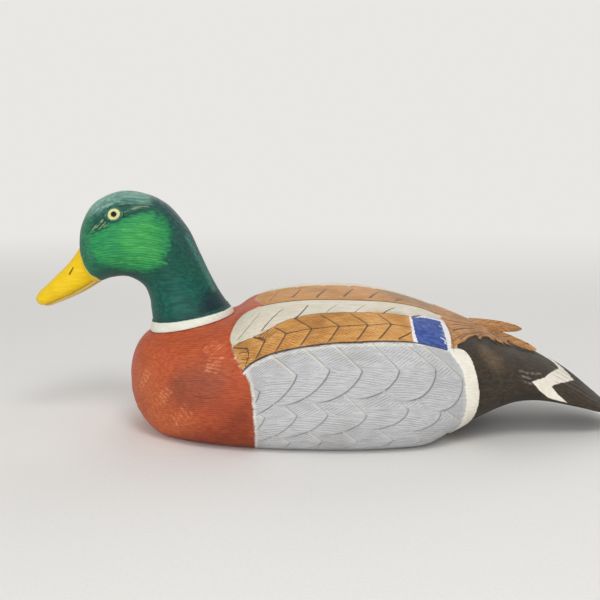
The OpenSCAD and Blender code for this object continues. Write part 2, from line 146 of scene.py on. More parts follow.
def curve(line: Line, place: Array) -> Array:
    """Follows a smooth curve through a list of points.

    Args:
        line: Points of the curve in rising order.
        place: Where to read it.

    Returns:
        The curve's value at each place.
    """
    x, y = np.array(line, float).T
    slope = np.gradient(y, x)
    slope[1:-1] = (y[2:] - y[:-2]) / (x[2:] - x[:-2])
    i = np.clip(np.searchsorted(x, place, side="right") - 1, 0, len(x) - 2)
    h = x[i + 1] - x[i]
    t = (place - x[i]) / h
    start = y[i] * (1 + 2 * t) * (1 - t) ** 2 + slope[i] * h * t * (1 - t) ** 2
    return start + y[i + 1] * t * t * (3 - 2 * t) + slope[i + 1] * h * t * t * (t - 1)


def rounded(distance: Array, radius: float) -> Array:
    """Gives the share of full size at a distance from an end that is rounded over a length."""
    return np.sqrt(1 - (1 - np.clip(distance / radius, 0, 1)) ** 2)


def signed_power(value: Array, exponent: Union[float, Array]) -> Array:
    """Raises the size of a value to a power and keeps its sign."""
    return np.sign(value) * np.abs(value) ** exponent


def soft_max(a: Array, b: Union[float, Array], fillet: float) -> Array:
    """Takes the higher of two surfaces, with a fillet where they meet."""
    return np.maximum(a, b) + np.maximum(fillet - np.abs(a - b), 0) ** 2 / (4 * fillet)


def ease(low: float, high: float, value: Array) -> Array:
    """Rises smoothly from 0 at low to 1 at high."""
    t = np.clip((value - low) / (high - low), 0, 1)
    return t * t * (3 - 2 * t)


def ridge(distance: Array, width: float) -> Array:
    """Gives a soft ridge that is 1 on a line and fades over its width."""
    return np.exp(-((distance / width) ** 2))


def smooth_line(points: Line, closed: bool = False, samples: int = 6) -> Array:
    """Draws a flowing line through a few points.

    Args:
        points: The points that it passes.
        closed: Whether it comes back to its start.
        samples: Short straight pieces between two points.

    Returns:
        The line's points.
    """
    knots = np.array(points, float)
    ends = (knots[-1:], knots[:2]) if closed else (knots[:1], knots[-1:])
    run = np.vstack([ends[0], knots, ends[1]])
    t = np.linspace(0, 1, samples, endpoint=False)[:, None]
    pieces = [
        b + 0.5 * t * (c - a + t * (2 * a - 5 * b + 4 * c - d + t * (3 * (b - c) + d - a)))
        for a, b, c, d in zip(run, run[1:], run[2:], run[3:])
    ]
    return np.vstack(pieces if closed else pieces + [knots[-1:]])


def spaced(values: Array, steps: Array, count: int) -> Array:
    """Picks values that lie evenly along a path, which has one step between each two of them."""
    path = np.concatenate([[0], np.cumsum(steps)])
    return np.interp(np.linspace(0, path[-1], count), path, values)


def follow(u: Array, v: Array, line: Array) -> tuple[Array, Array]:
    """Measures points against a line.

    Args:
        u: First drawing coordinate.
        v: Second drawing coordinate.
        line: Points of the line.

    Returns:
        Distances, with the sign of the side that each point lies on, and shares of the way along.
    """
    nearest = np.full(u.shape, np.inf)
    side, along = np.ones(u.shape), np.zeros(u.shape)
    for i, ((au, av), (bu, bv)) in enumerate(zip(line, line[1:])):
        du, dv = bu - au, bv - av
        t = np.clip(((u - au) * du + (v - av) * dv) / (du * du + dv * dv + 1e-12), 0, 1)
        away = np.hypot(u - au - t * du, v - av - t * dv)
        closer = away < nearest
        side = np.where(closer, np.where(du * (v - av) > dv * (u - au), 1, -1), side)
        along = np.where(closer, (i + t) / (len(line) - 1), along)
        nearest = np.minimum(away, nearest)
    return side * nearest, along


def patch_distance(u: Array, v: Array, outline: Array) -> Array:
    """Measures how far points lie inside an outline.

    Args:
        u: First drawing coordinate.
        v: Second drawing coordinate.
        outline: Corners of the outline, which closes by itself.

    Returns:
        Distances, positive inside and negative outside.
    """
    closed = np.vstack([outline, outline[:1]])
    odd = np.zeros(u.shape, bool)
    for (au, av), (bu, bv) in zip(closed, closed[1:]):
        if av != bv:
            odd ^= ((av > v) != (bv > v)) & (u < au + (v - av) * (bu - au) / (bv - av))
    return np.where(odd, 1, -1) * np.abs(follow(u, v, closed)[0])


# Carving and paint, drawn on a surface


@dataclass(frozen=True)
class Stroke:
    """One knife cut. Positive ink burns it dark, negative ink scrapes it pale, and taper thins its end."""

    line: Line
    width: float = 0.5
    depth: float = 0.35
    ink: float = 0.9
    taper: float = 0.4


@dataclass(frozen=True)
class FeatherRow:
    """A row of carved feathers, each over the one behind it, with tips that point to the tail.

    Each tip is a place on the surface and a turn in degrees. Reach and drop give the curved lower
    edge, rise the straight upper edge, step the height of the free edge, and lean the slope of the
    barbs above and below the shaft. Lower and upper tell how dark the two edges are burnt and how
    dark the painted shade beside them is, and crest how strong the painted highlight along the
    raised upper edge is. Sink is the share of the step that the upper half lies lower by, and slack
    how far a feather may reach over the border of its patch.
    """

    tips: Sequence[Triple]
    reach: float
    drop: float
    step: float
    lean: Pair
    lower: float
    upper: float = 0.0
    crest: float = 0.0
    comb: float = 1.0
    rise: float = 26.0
    cover: float = 15.0
    fade: float = 15.0
    fullness: float = 0.75
    margin: float = 7.0
    border: float = 5.0
    sink: float = 0.8
    slack: float = 0.4
    shaft_width: float = 0.6
    shaft_height: float = 0.12

    def outline(self) -> Array:
        """Draws one feather with its tip at the origin, towards the head and downwards.

        Returns:
            The outline's corners.
        """
        share = np.linspace(0, 1, 15)
        free = np.stack([self.reach * share, self.drop * (1 - (1 - share) ** 2) ** self.fullness], 1)
        under = np.stack([self.reach + self.cover * share, self.drop * np.sqrt(1 - share**2)], 1)[1:]
        return np.vstack([free, under, [[self.reach + self.cover, -self.rise], [self.rise, -self.rise]]])


@dataclass(frozen=True)
class PaintPatch:
    """One area of paint: its place on the surface, its tones and its brushed edge.

    The place is an outline, or loose strokes of a breadth. Ragged is how far the edge wanders and
    soft how far it blends, in mm. Level is the height of the wood under it, comb how strongly fine
    lines are scratched into it, and lines their slope in degrees.
    """

    name: str
    base: str
    light: str
    dark: str
    outline: Line = ()
    strokes: Sequence[Line] = ()
    breadth: float = 1.3
    ragged: float = 0.8
    soft: float = 0.35
    level: Optional[float] = None
    bank: float = 4.0
    comb: Optional[float] = None
    lines: float = 0.0
    corners: bool = False

    def inside(self, u: Array, v: Array) -> Array:
        """Measures how far points lie inside the patch.

        Args:
            u: First drawing coordinate.
            v: Second drawing coordinate.

        Returns:
            Distances, positive inside and negative outside.
        """
        if self.strokes:
            away = [np.abs(follow(u, v, smooth_line(stroke))[0]) for stroke in self.strokes]
            return self.breadth / 2 - np.min(away, axis=0)
        outline = np.array(self.outline, float) if self.corners else smooth_line(self.outline, True)
        return patch_distance(u, v, outline)


class Skin:
    """A carved surface in rows and columns, with what is cut into it and drawn on it.

    Groove is the narrowest cut that the grid can hold, spread how far a cut's ink is kept, and weld
    how close two points lie to become one, in mm.
    """

    GROOVE: ClassVar[float] = 0.8
    SPREAD: ClassVar[float] = 1.2
    WELD: ClassVar[float] = 0.004

    def __init__(self, points: Array, u: Array, v: Array) -> None:
        """Starts a plain surface.

        Args:
            points: Places in mm, rows by columns by three.
            u: First drawing coordinate of each point in mm.
            v: Second drawing coordinate of each point in mm.
        """
        self.points = points
        self.u = u
        self.v = v
        self.height = np.zeros(u.shape)
        names = ("line", "ink", "char", "crest", "pale", "shade", "comb")
        self.marks = {name: np.zeros(u.shape) for name in names}
        self.marks["edge"] = np.full(u.shape, -NEAR)
        self.marks["barb"] = v.copy()

    def lay(self, patch: PaintPatch) -> None:
        """Marks out a patch of paint and sets the height and the combing of the wood under it.

        Args:
            patch: The patch.
        """
        distance = patch.inside(self.u, self.v)
        self.marks[patch.name] = np.clip(distance, -FAR, FAR)
        if patch.level is not None:
            self.height += ease(0, patch.bank, distance) * (patch.level - self.height)
        if patch.comb is not None:
            lean = math.radians(patch.lines)
            lines = self.v * math.cos(lean) - self.u * math.sin(lean)
            comb = np.where(distance > 0, patch.comb, self.marks["comb"])
            self.marks["comb"] = comb * ease(*COMB_FADE, np.abs(distance))
            self.marks["barb"] = np.where(distance > 0, lines, self.marks["barb"])

    def cut(self, stroke: Stroke) -> None:
        """Cuts a stroke into the surface and keeps how far it is, in widths of the stroke.

        Args:
            stroke: The stroke.
        """
        side, along = follow(self.u, self.v, smooth_line(stroke.line))
        self.height -= stroke.depth * ridge(side, max(stroke.width, self.GROOVE))
        ink = stroke.ink * ridge(side, self.SPREAD)
        nearer = np.abs(ink) > np.abs(self.marks["ink"])
        thin = stroke.width * (1 - stroke.taper * along)
        self.marks["line"] = np.where(nearer, np.clip(side / thin, -NEAR, NEAR), self.marks["line"])
        self.marks["ink"] = np.where(nearer, ink, self.marks["ink"])

    def draw(self, patches: Sequence[PaintPatch] = (), strokes: Sequence[Stroke] = ()) -> None:
        """Marks out patches of paint and then cuts strokes.

        Args:
            patches: The patches, from the lowest layer up.
            strokes: The strokes.
        """
        for patch in patches:
            self.lay(patch)
        for stroke in strokes:
            self.cut(stroke)

    def carve(self, row: FeatherRow, within: str) -> None:
        """Carves a row of feathers from the tail forwards, within the patch of a name."""
        for tip in reversed(row.tips):
            self._feather(row, tip, self.marks[within])

    def _feather(self, row: FeatherRow, tip: Triple, inside: Array) -> None:
        """Carves one feather over those already there.

        Args:
            row: The row that it belongs to.
            tip: Its tip's place and turn.
            inside: How far each point lies inside the patch that it stays in.
        """
        sin, cos = math.sin(math.radians(tip[2])), math.cos(math.radians(tip[2]))
        du, dv = self.u - tip[0], self.v - tip[1]
        ahead, below = dv * sin - du * cos, du * sin + dv * cos
        near = (ahead > -row.margin) & (ahead < row.reach + row.cover + row.margin) & (inside > -row.slack)
        near &= (below > -row.rise - row.margin) & (below < row.drop + row.margin)
        if not near.any():
            return
        p, r, within = ahead[near], below[near], inside[near]
        distance = patch_distance(p, r, row.outline())
        bounds = ease(0.2, 2.0, within)
        shaft = ridge(r, row.shaft_width) * ease(0, 3, p) * (1 - ease(0.6 * row.reach, row.reach, p))
        sunk = np.maximum(ease(0, row.fade, distance), row.sink * (1 - ease(-5, 1, r)))
        lift = -row.step * sunk - row.shaft_height * (1 - shaft) * ease(0, 2, distance)
        lift *= ease(0, row.border, within)
        cover = ease(-0.8, 0.7, distance) * ease(-row.slack, row.slack, within)
        self.height[near] += cover * (lift - self.height[near])
        edge = self.marks["edge"][near]
        nearest = (distance > 0) | (-distance < np.abs(edge))
        # Strength of the burnt line at the free edge, which also sets the painted shade laid beside it
        burnt = row.upper + (row.lower - row.upper) * ease(-2.0, 1.5, r)
        burnt *= bounds * (1 - 0.8 * ease(0.75 * row.reach, 1.2 * row.reach, p))
        # Painted highlight along the raised upper edge
        pale_and_highlight = row.crest * bounds * (1 - ease(-2.0, 1.0, r))
        slope = np.radians(np.where(r < 0, row.lean[0], row.lean[1]))
        comb = np.where(distance > 0, row.comb * (1 - ridge(r, 1.0)), self.marks["comb"][near])
        fresh = {
            "edge": (nearest, np.clip(distance, -NEAR, NEAR)),
            "char": (nearest, burnt),
            "crest": (nearest, pale_and_highlight),
            "barb": (distance > 0, np.sin(slope) * p - np.cos(slope) * r),
            "pale": (distance > 0, 0.3 * shaft),
            "comb": (within > 0, comb * ease(*COMB_FADE, np.abs(distance))),
        }
        for name, (where, values) in fresh.items():
            self.marks[name][near] = np.where(where, values, self.marks[name][near])

    def taken(self, rows: Array) -> "Skin":
        """Makes a surface of some of the rows.

        Args:
            rows: Numbers of the rows, in their new order.

        Returns:
            The new surface.
        """
        skin = Skin(self.points[rows], self.u[rows], self.v[rows])
        skin.height = self.height[rows]
        skin.marks = {name: mark[rows] for name, mark in self.marks.items()}
        return skin

    def mirrored(self) -> "Skin":
        """Joins the surface to its mirror image across the first row.

        Returns:
            The surface of both sides.
        """
        rows = np.arange(len(self.u))
        whole = self.taken(np.concatenate([rows[::-1], rows[1:]]))
        whole.points[:len(rows), :, 1] *= -1
        return whole

    def turned_over(self) -> "Skin":
        """Puts the rows in the opposite order."""
        return self.taken(np.arange(len(self.u))[::-1])

    def settle(self, inset: Union[float, Array]) -> None:
        """Moves the points in by the carved depth, along the surface's own normals.

        Args:
            inset: Depth that every point goes in, so that the surface stays inside the solid's box.
        """
        closed = np.allclose(self.points[0], self.points[-1], atol=1e-6)
        rows = (self.points[-2:-1], self.points, self.points[1:2]) if closed else (self.points,)
        across = np.gradient(np.concatenate(rows), axis=0)
        across = across[1:-1] if closed else across
        normal = np.cross(np.gradient(self.points, axis=1), across)
        normal /= np.maximum(np.linalg.norm(normal, axis=2, keepdims=True), 1e-9)
        outward = np.sign(np.sum(normal * (self.points - self.points.mean(axis=(0, 1)))))
        depth = np.minimum(self.height, 0)[..., None] - inset
        self.points = self.points + outward * normal * depth

    def pinch(self) -> None:
        """Draws the last column together to one point, which closes the end."""
        end = np.broadcast_to(self.points[:, -1:].mean(axis=0, keepdims=True), self.points[:, -1:].shape)
        self.points = np.concatenate([self.points, end], 1)
        self.u, self.v = (np.concatenate([m, m[:, -1:]], 1) for m in (self.u, self.v))
        self.marks = {n: np.concatenate([m, m[:, -1:]], 1) for n, m in self.marks.items()}

    def piece(self, name: str, place: Optional[Matrix] = None) -> Piece:
        """Wraps a grid onto the points, closes it and keeps the marks on its vertices.

        Args:
            name: Name of the piece.
            place: Frame of the points, if they aren't in the model's own frame.

        Returns:
            The piece, at the origin, in metres.
        """
        rows, columns = self.u.shape
        flat = self.points.reshape(-1, 3)
        bm = bmesh.new()
        bmesh.ops.create_grid(bm, x_segments=columns - 1, y_segments=rows - 1, size=0.5)
        index = bm.verts.layers.int.new("index")
        for i, vert in enumerate(bm.verts):
            vert.co = flat[i]
            vert[index] = i
        bmesh.ops.remove_doubles(bm, verts=bm.verts, dist=self.WELD)
        rim = [e for e in bm.edges if e.is_boundary]
        for face in bmesh.ops.holes_fill(bm, edges=rim, sides=0)["faces"]:
            for edge in face.edges:
                edge.smooth = False
        bmesh.ops.recalc_face_normals(bm, faces=bm.faces)
        piece = new_piece(name, bm, place or Matrix())
        order = np.zeros(len(piece.data.vertices), np.int32)
        piece.data.attributes["index"].data.foreach_get("value", order)
        piece.data.attributes.remove(piece.data.attributes["index"])
        for mark, values in self.marks.items():
            layer = piece.data.attributes.new(mark, "FLOAT", "POINT")
            layer.data.foreach_set("value", values.ravel()[order].astype(np.float32))
        return piece


def new_object(name: str, data: bpy.types.ID) -> bpy.types.Object:
    """Puts a mesh, a lamp or a camera into the scene.

    Args:
        name: Name of the object.
        data: What it shows.

    Returns:
        The object.
    """
    item = bpy.data.objects.new(name, data)
    bpy.context.scene.collection.objects.link(item)
    return item


def new_piece(name: str, bm: bmesh.types.BMesh, place: Matrix, smooth: bool = True) -> Piece:
    """Turns a bmesh in mm into an object of the scene, which is in metres.

    Args:
        name: Name of the piece.
        bm: The finished bmesh, which is freed.
        place: Frame of the bmesh.
        smooth: Whether its faces are shaded smooth.

    Returns:
        The new object.
    """
    bmesh.ops.transform(bm, matrix=Matrix.Scale(MM, 4) @ place, verts=bm.verts)
    for face in bm.faces:
        face.smooth = smooth
    mesh = bpy.data.meshes.new(name)
    bm.to_mesh(mesh)
    bm.free()
    return new_object(name, mesh)


class SubAssembly:
    """Pieces that ride together on one body of the frame."""

    body: ClassVar[Body]

    def dress(self, piece: Piece, node: str, slot: str, *materials: bpy.types.Material) -> None:
        """Gives a piece its materials and ties it to the frame.

        Args:
            piece: The piece.
            node: The solid that it stands for.
            slot: The record's material slot; not used.
            materials: Its materials, in slot order.
        """
        for material in materials:
            piece.data.materials.append(material)
        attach(piece, self.body.value)
        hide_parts(node)
        LOG.info("%s stands for %s: %d faces", piece.name, node, len(piece.data.polygons))


# Materials


def linear(colour: str) -> tuple[float, float, float, float]:
    """Turns an sRGB hex colour into linear red, green, blue and alpha."""
    parts = [int(colour[i:i + 2], 16) / 255 for i in (1, 3, 5)]
    return (*[c / 12.92 if c <= 0.04045 else ((c + 0.055) / 1.055) ** 2.4 for c in parts], 1.0)


def per_metre(size: float) -> float:
    """Gives a texture's scale from the size of its grain in mm."""
    return 1 / (size * MM)


class Nodes:
    """A node tree that is grown one node at a time."""

    def __init__(self, owner: Union[bpy.types.Material, bpy.types.World]) -> None:
        """Starts an empty tree.

        Args:
            owner: The material or world that it belongs to.
        """
        owner.use_nodes = True
        self.tree = owner.node_tree
        self.tree.nodes.clear()

    def add(self, kind: Node, *feeds: Feed, **settings: object) -> Optional[Socket]:
        """Adds a node with its settings and links.

        Args:
            kind: The kind of node.
            feeds: What feeds its sockets, in order: a socket, a value, a hex colour, or None to skip one.
            settings: Properties of this one node.

        Returns:
            The output socket, or None for the last node of a tree.
        """
        type_name, sockets, output, usual = kind.value
        node = self.tree.nodes.new(type_name)
        for name, setting in {**usual, **settings}.items():
            setattr(node, name, setting)
        for socket, feed in zip(sockets, feeds):
            if isinstance(feed, Socket):
                self.tree.links.new(feed, node.inputs[socket])
            elif feed is not None:
                node.inputs[socket].default_value = linear(feed) if isinstance(feed, str) else feed
        return None if output is None else node.outputs[output]


class Finish:
    """A finish, which becomes one material."""

    name: str

    def material(self) -> bpy.types.Material:
        """Builds the material.

        Returns:
            The material, with its surface linked.
        """
        material = bpy.data.materials.new(self.name)
        add = Nodes(material).add
        add(Node.OUTPUT, self.surface(add))
        return material

    def surface(self, add: Adder) -> Socket:
        """Grows the nodes of the surface, in each finish its own."""
        raise NotImplementedError


@dataclass(frozen=True)
class BrushedPaint(Finish):
    """Artist's acrylic, brushed by hand over carved and burnt basswood.

    The eye sees satin paint in uneven strokes, scratched barbs, dark burnt cuts and pale cuts, a painted
    highlight along raised feather edges and painted shade beside them. Barbs on the real wood are about
    1 mm apart and are drawn coarser, so that they show. Cloud, bristle, gap, wander, wisp and tooth are
    sizes of its patterns in mm. Drawn tells how far the bristle marks are drawn out, sway how far an
    edge wanders, and the depths are in mm. Crest, groove and painted edge shade give distances from a
    feather's edge, in mm, between which each comes in. The dark tone of the burnt cuts also lays all
    painted shade.
    """

    name: str
    patches: Sequence[PaintPatch]
    ground: str
    ground_light: str
    ground_dark: str
    barb_pitch: float = 1.7
    barb_dark: float = 0.34
    barb_light: float = 0.32
    # Dark tone of burnt cuts, which also lays the painted shade
    burn: str = "#4a3524"
    pale: str = "#d9d2c0"
    roughness: float = 0.5
    gloss: float = 0.22
    cloud: float = 20.0
    bristle: float = 1.5
    drawn: float = 7.0
    gap: float = 2.4
    wander: float = 3.0
    wisp: float = 1.1
    sway: float = 1.1
    tooth: float = 0.7
    crest: Pair = (2.0, 0.8)
    groove: Pair = (-1.3, -0.35)
    scorch: Pair = (-6.5, -0.4)
    barb_depth: float = 0.13
    cut_depth: float = 0.12
    brush_depth: float = 0.1
    tooth_depth: float = 0.03

    def surface(self, add: Adder) -> Socket:
        """Grows the paint: layers of tone, then barbs, scraped edges and burnt cuts.

        Args:
            add: Adds a node to the material.

        Returns:
            The surface shader.
        """
        place = add(Node.PLACE)
        along = add(Node.LIE, place, (1 / self.drawn, 1, 1))
        cloud = add(Node.GRAIN, place, per_metre(self.cloud), 4.0)
        brush = add(Node.GRAIN, along, per_metre(self.bristle), 3.0)
        colour = self._layers(add, place, along, cloud, brush)
        barb = add(Node.MARK, attribute_name="barb")
        phase = add(Node.SUM, barb, 2 * math.pi / self.barb_pitch, add(Node.TIMES, cloud, 9.0))
        gaps = add(Node.RISE, add(Node.GRAIN, along, per_metre(self.gap), 3.0), 0.3, 0.5)
        comb = add(Node.TIMES, gaps, add(Node.MARK, attribute_name="comb"))
        barbs = add(Node.TIMES, add(Node.SINE, phase), comb)
        cut = add(Node.RISE, barbs, 0.1, 1.0, self.barb_dark)
        kept = add(Node.RISE, barbs, -0.2, -1.0, self.barb_light)
        for share, tint in ((cut, "#000000"), (kept, "#ffffff")):
            colour = add(Node.LAYER, share, colour, tint, blend_type="SOFT_LIGHT")
        line = add(Node.SIZE, add(Node.MARK, attribute_name="line"))
        trace = add(Node.RISE, line, 1.25, 0.5)
        cuts = add(Node.TIMES, trace, add(Node.MARK, attribute_name="ink"))
        colour = self._edges(add, colour, cuts)
        tooth = add(Node.GRAIN, place, per_metre(self.tooth), 3.0)
        relief = add(Node.SUM, barbs, -self.barb_depth, add(Node.TIMES, tooth, self.tooth_depth))
        relief = add(Node.SUM, cuts, -self.cut_depth, relief)
        relief = add(Node.SUM, brush, self.brush_depth, relief)
        sheen = add(Node.SUM, cloud, 0.18, self.roughness - 0.09)
        return add(Node.SURFACE, colour, sheen, add(Node.BUMP, relief, MM), self.gloss)

    def _layers(self, add: Adder, place: Feed, along: Feed, cloud: Feed, brush: Feed) -> Socket:
        """Lays the ground and then each patch over it, with a wandering edge.

        Args:
            add: Adds a node to the material.
            place: Coordinates.
            along: Coordinates drawn out along the strokes.
            cloud: Broad unevenness.
            brush: Unevenness from stroke to stroke.

        Returns:
            The colour.
        """
        streak = add(Node.RISE, brush, 0.36, 0.68)
        shade = add(Node.RISE, cloud, 0.48, 0.74, 0.8)
        wisp = add(Node.GRAIN, along, per_metre(self.wisp), 3.0)
        wisp = add(Node.SUM, wisp, self.sway, -self.sway)
        wander = add(Node.GRAIN, place, per_metre(self.wander), 4.0)
        wander = add(Node.SUM, wander, self.sway, wisp)
        colour = add(Node.LAYER, streak, self.ground, self.ground_light)
        colour = add(Node.LAYER, shade, colour, self.ground_dark)
        for patch in self.patches:
            mark = add(Node.MARK, attribute_name=patch.name)
            edge = add(Node.SUM, wander, patch.ragged, mark)
            tone = add(Node.LAYER, streak, patch.base, patch.light)
            tone = add(Node.LAYER, shade, tone, patch.dark)
            laid = add(Node.RISE, edge, -patch.soft, patch.soft)
            colour = add(Node.LAYER, laid, colour, tone)
        return colour

    def _edges(self, add: Adder, colour: Feed, cuts: Feed) -> Socket:
        """Lays a painted highlight on raised feather edges, pales cuts, and darkens burnt cuts and painted
        shade.

        Args:
            add: Adds a node to the material.
            colour: The paint.
            cuts: Strength of the cuts, dark above zero and pale below.

        Returns:
            The colour.
        """
        edge = add(Node.MARK, attribute_name="edge")
        # Painted highlight along raised upper feather edges
        rim = add(Node.RISE, edge, *self.crest)
        crest = add(Node.TIMES, add(Node.RISE, edge, -0.3, 0.3), rim)
        crest = add(Node.TIMES, crest, add(Node.MARK, attribute_name="crest"))
        pale_and_highlight = add(Node.SUM, add(Node.MARK, attribute_name="pale"), 0.8, crest)
        pale_and_highlight = add(Node.SUM, cuts, -1.0, pale_and_highlight)
        colour = add(Node.LAYER, add(Node.RISE, pale_and_highlight, 0.0, 1.0), colour, self.pale)
        char = add(Node.MARK, attribute_name="char")
        outside = add(Node.TIMES, add(Node.RISE, edge, 0.3, -0.1), char)
        groove = add(Node.TIMES, outside, add(Node.RISE, edge, *self.groove, 0.68))
        # Painted shade on the feather beneath, beside each overlapping edge
        scorch = add(Node.TIMES, outside, add(Node.RISE, edge, *self.scorch, 0.3))
        # Painted shade from the shade mark and beside feather edges darkens with the burnt cuts in one tone
        burnt = add(Node.SUM, add(Node.MARK, attribute_name="shade"), 0.7, groove)
        burnt = add(Node.SUM, cuts, 1.1, add(Node.SUM, scorch, 1.0, burnt))
        return add(Node.LAYER, add(Node.RISE, burnt, 0.05, 1.0, 0.88), colour, self.burn)


@dataclass(frozen=True)
class SandedWood(Finish):
    """Bare wood or cork, sanded: pale and dark bands with fine pores along the grain.

    Ring is the width of a band and pore that of a pore in mm, and lie tells how much the grain is
    drawn out along each axis.
    """

    name: str
    base: str
    dark: str
    ring: float
    lie: Triple
    roughness: float = 0.55
    pore: float = 0.6

    def surface(self, add: Adder) -> Socket:
        """Grows bands and pores.

        Args:
            add: Adds a node to the material.

        Returns:
            The surface shader.
        """
        along = add(Node.LIE, add(Node.PLACE), tuple(1 / s for s in self.lie))
        rings = add(Node.RISE, add(Node.GRAIN, along, per_metre(self.ring), 2.0), 0.42, 0.6)
        pores = add(Node.GRAIN, along, per_metre(self.pore), 3.0)
        colour = add(Node.LAYER, add(Node.TIMES, rings, 0.7), self.base, self.dark)
        colour = add(Node.LAYER, add(Node.RISE, pores, 0.6, 0.72, 0.6), colour, self.dark)
        bump = add(Node.BUMP, add(Node.TIMES, pores, -0.05), MM)
        return add(Node.SURFACE, colour, add(Node.SUM, rings, 0.1, self.roughness), bump)


@dataclass(frozen=True)
class DulledMetal(Finish):
    """Metal that has dulled in use: tarnish in clouds and a grain of grit, both of a size in mm."""

    name: str
    base: str
    tarnish: str
    grit: float
    roughness: float
    cloud: float = 4.0

    def surface(self, add: Adder) -> Socket:
        """Grows tarnish and grain.

        Args:
            add: Adds a node to the material.

        Returns:
            The surface shader.
        """
        place = add(Node.PLACE)
        clouds = add(Node.RISE, add(Node.GRAIN, place, per_metre(self.cloud), 4.0), 0.42, 0.62)
        grain = add(Node.GRAIN, add(Node.LIE, place, (1, 1, 1 / 4)), per_metre(self.grit), 3.0)
        colour = add(Node.LAYER, clouds, self.base, self.tarnish)
        rough = add(Node.SUM, clouds, 0.2, add(Node.SUM, grain, 0.1, self.roughness - 0.05))
        bump = add(Node.BUMP, add(Node.TIMES, grain, 0.04), MM)
        return add(Node.SURFACE, colour, rough, bump, None, 1.0)


@dataclass(frozen=True)
class PaintedGlass(Finish):
    """Blown glass with a painted back: a wet, sharp shine over a pale iris and a black pupil.

    Each edge gives the distances from the middle, in mm, between which a tone comes in.
    """

    name: str = "glass, blown and painted behind"
    iris: str = "#d3d68e"
    fleck: str = "#ebecba"
    inner: str = "#a39c3c"
    rim: str = "#59602a"
    pupil: str = "#0b0b0a"
    inner_edge: Pair = (2.7, 1.8)
    rim_edge: Pair = (3.9, 4.6)
    pupil_edge: Pair = (1.95, 1.65)
    speck: float = 0.5
    roughness: float = 0.05
    gloss: float = 0.12

    def surface(self, add: Adder) -> Socket:
        """Grows the iris in rings round the pupil.

        Args:
            add: Adds a node to the material.

        Returns:
            The surface shader.
        """
        radius = add(Node.MARK, attribute_name="iris")
        fleck = add(Node.GRAIN, add(Node.PLACE), per_metre(self.speck), 3.0)
        colour = add(Node.LAYER, add(Node.RISE, fleck, 0.35, 0.65), self.iris, self.fleck)
        inner = add(Node.RISE, radius, *self.inner_edge, 0.8)
        rim = add(Node.RISE, radius, *self.rim_edge, 0.9)
        pupil = add(Node.RISE, radius, *self.pupil_edge)
        for share, tone in ((inner, self.inner), (rim, self.rim), (pupil, self.pupil)):
            colour = add(Node.LAYER, share, colour, tone)
        return add(Node.SURFACE, colour, self.roughness, None, self.gloss)


@dataclass(frozen=True)
class RubbedPrimer(Finish):
    """Grey primer on the flat underside: rubbed thin where the board has stood, with brown scuffs.

    Bristle is the width of a brush mark and rub the size of a rubbed spot, in mm.
    """

    name: str = "grey primer, brushed and rubbed"
    base: str = "#8f8f8c"
    light: str = "#a3a29e"
    scuff: str = "#8b6a47"
    roughness: float = 0.55
    bristle: float = 1.6
    rub: float = 22.0
    drawn: float = 9.0

    def surface(self, add: Adder) -> Socket:
        """Grows brush strokes and scuffs.

        Args:
            add: Adds a node to the material.

        Returns:
            The surface shader.
        """
        place = add(Node.PLACE)
        along = add(Node.LIE, place, (1 / self.drawn, 1, 1))
        brush = add(Node.GRAIN, along, per_metre(self.bristle), 3.0)
        patchy = add(Node.SUM, brush, 0.25, add(Node.GRAIN, place, per_metre(self.rub), 5.0))
        worn = add(Node.RISE, patchy, 0.66, 0.76)
        colour = add(Node.LAYER, add(Node.RISE, brush, 0.4, 0.62), self.base, self.light)
        colour = add(Node.LAYER, add(Node.TIMES, worn, 0.75), colour, self.scuff)
        bump = add(Node.BUMP, add(Node.TIMES, brush, 0.1), MM)
        return add(Node.SURFACE, colour, add(Node.SUM, worn, 0.15, self.roughness), bump)


@dataclass(frozen=True)
class PressedPutty(Finish):
    """Epoxy putty, pressed on by hand and painted: soft lumps of a size in mm, paler on their crests."""

    name: str = "epoxy putty, pressed and painted"
    base: str = "#1c4438"
    light: str = "#3f7a62"
    roughness: float = 0.45
    lump: float = 1.6

    def surface(self, add: Adder) -> Socket:
        """Grows the lumps.

        Args:
            add: Adds a node to the material.

        Returns:
            The surface shader.
        """
        lump = add(Node.GRAIN, add(Node.PLACE), per_metre(self.lump), 3.0)
        colour = add(Node.LAYER, add(Node.RISE, lump, 0.45, 0.65), self.base, self.light)
        bump = add(Node.BUMP, add(Node.TIMES, lump, 0.15), MM)
        return add(Node.SURFACE, colour, self.roughness, bump)


@dataclass(frozen=True)
class EvenPaper(Finish):
    """Matt paper with a faint tooth, which glows evenly where it runs out of sight.

    Clear gives the distances from the middle, in metres, between which it starts to glow, and grain
    the size of its tooth in mm.
    """

    clear: Pair
    tone: str
    glow: str
    name: str = "matt paper, laid out flat"
    tooth: str = "#e8e6e3"
    grain: float = 2.0
    roughness: float = 0.9

    def surface(self, add: Adder) -> Socket:
        """Grows tooth and glow.

        Args:
            add: Adds a node to the material.

        Returns:
            The surface shader.
        """
        place = add(Node.PLACE)
        tooth = add(Node.GRAIN, place, per_metre(self.grain), 3.0)
        tooth = add(Node.RISE, tooth, 0.4, 0.7, 0.3)
        far = add(Node.RISE, add(Node.LENGTH, place), *self.clear)
        colour = add(Node.LAYER, far, add(Node.LAYER, tooth, self.tone, self.tooth), "#000000")
        return add(Node.SURFACE, colour, self.roughness, None, 0.0, 0.0, self.glow, far)


# Carved body

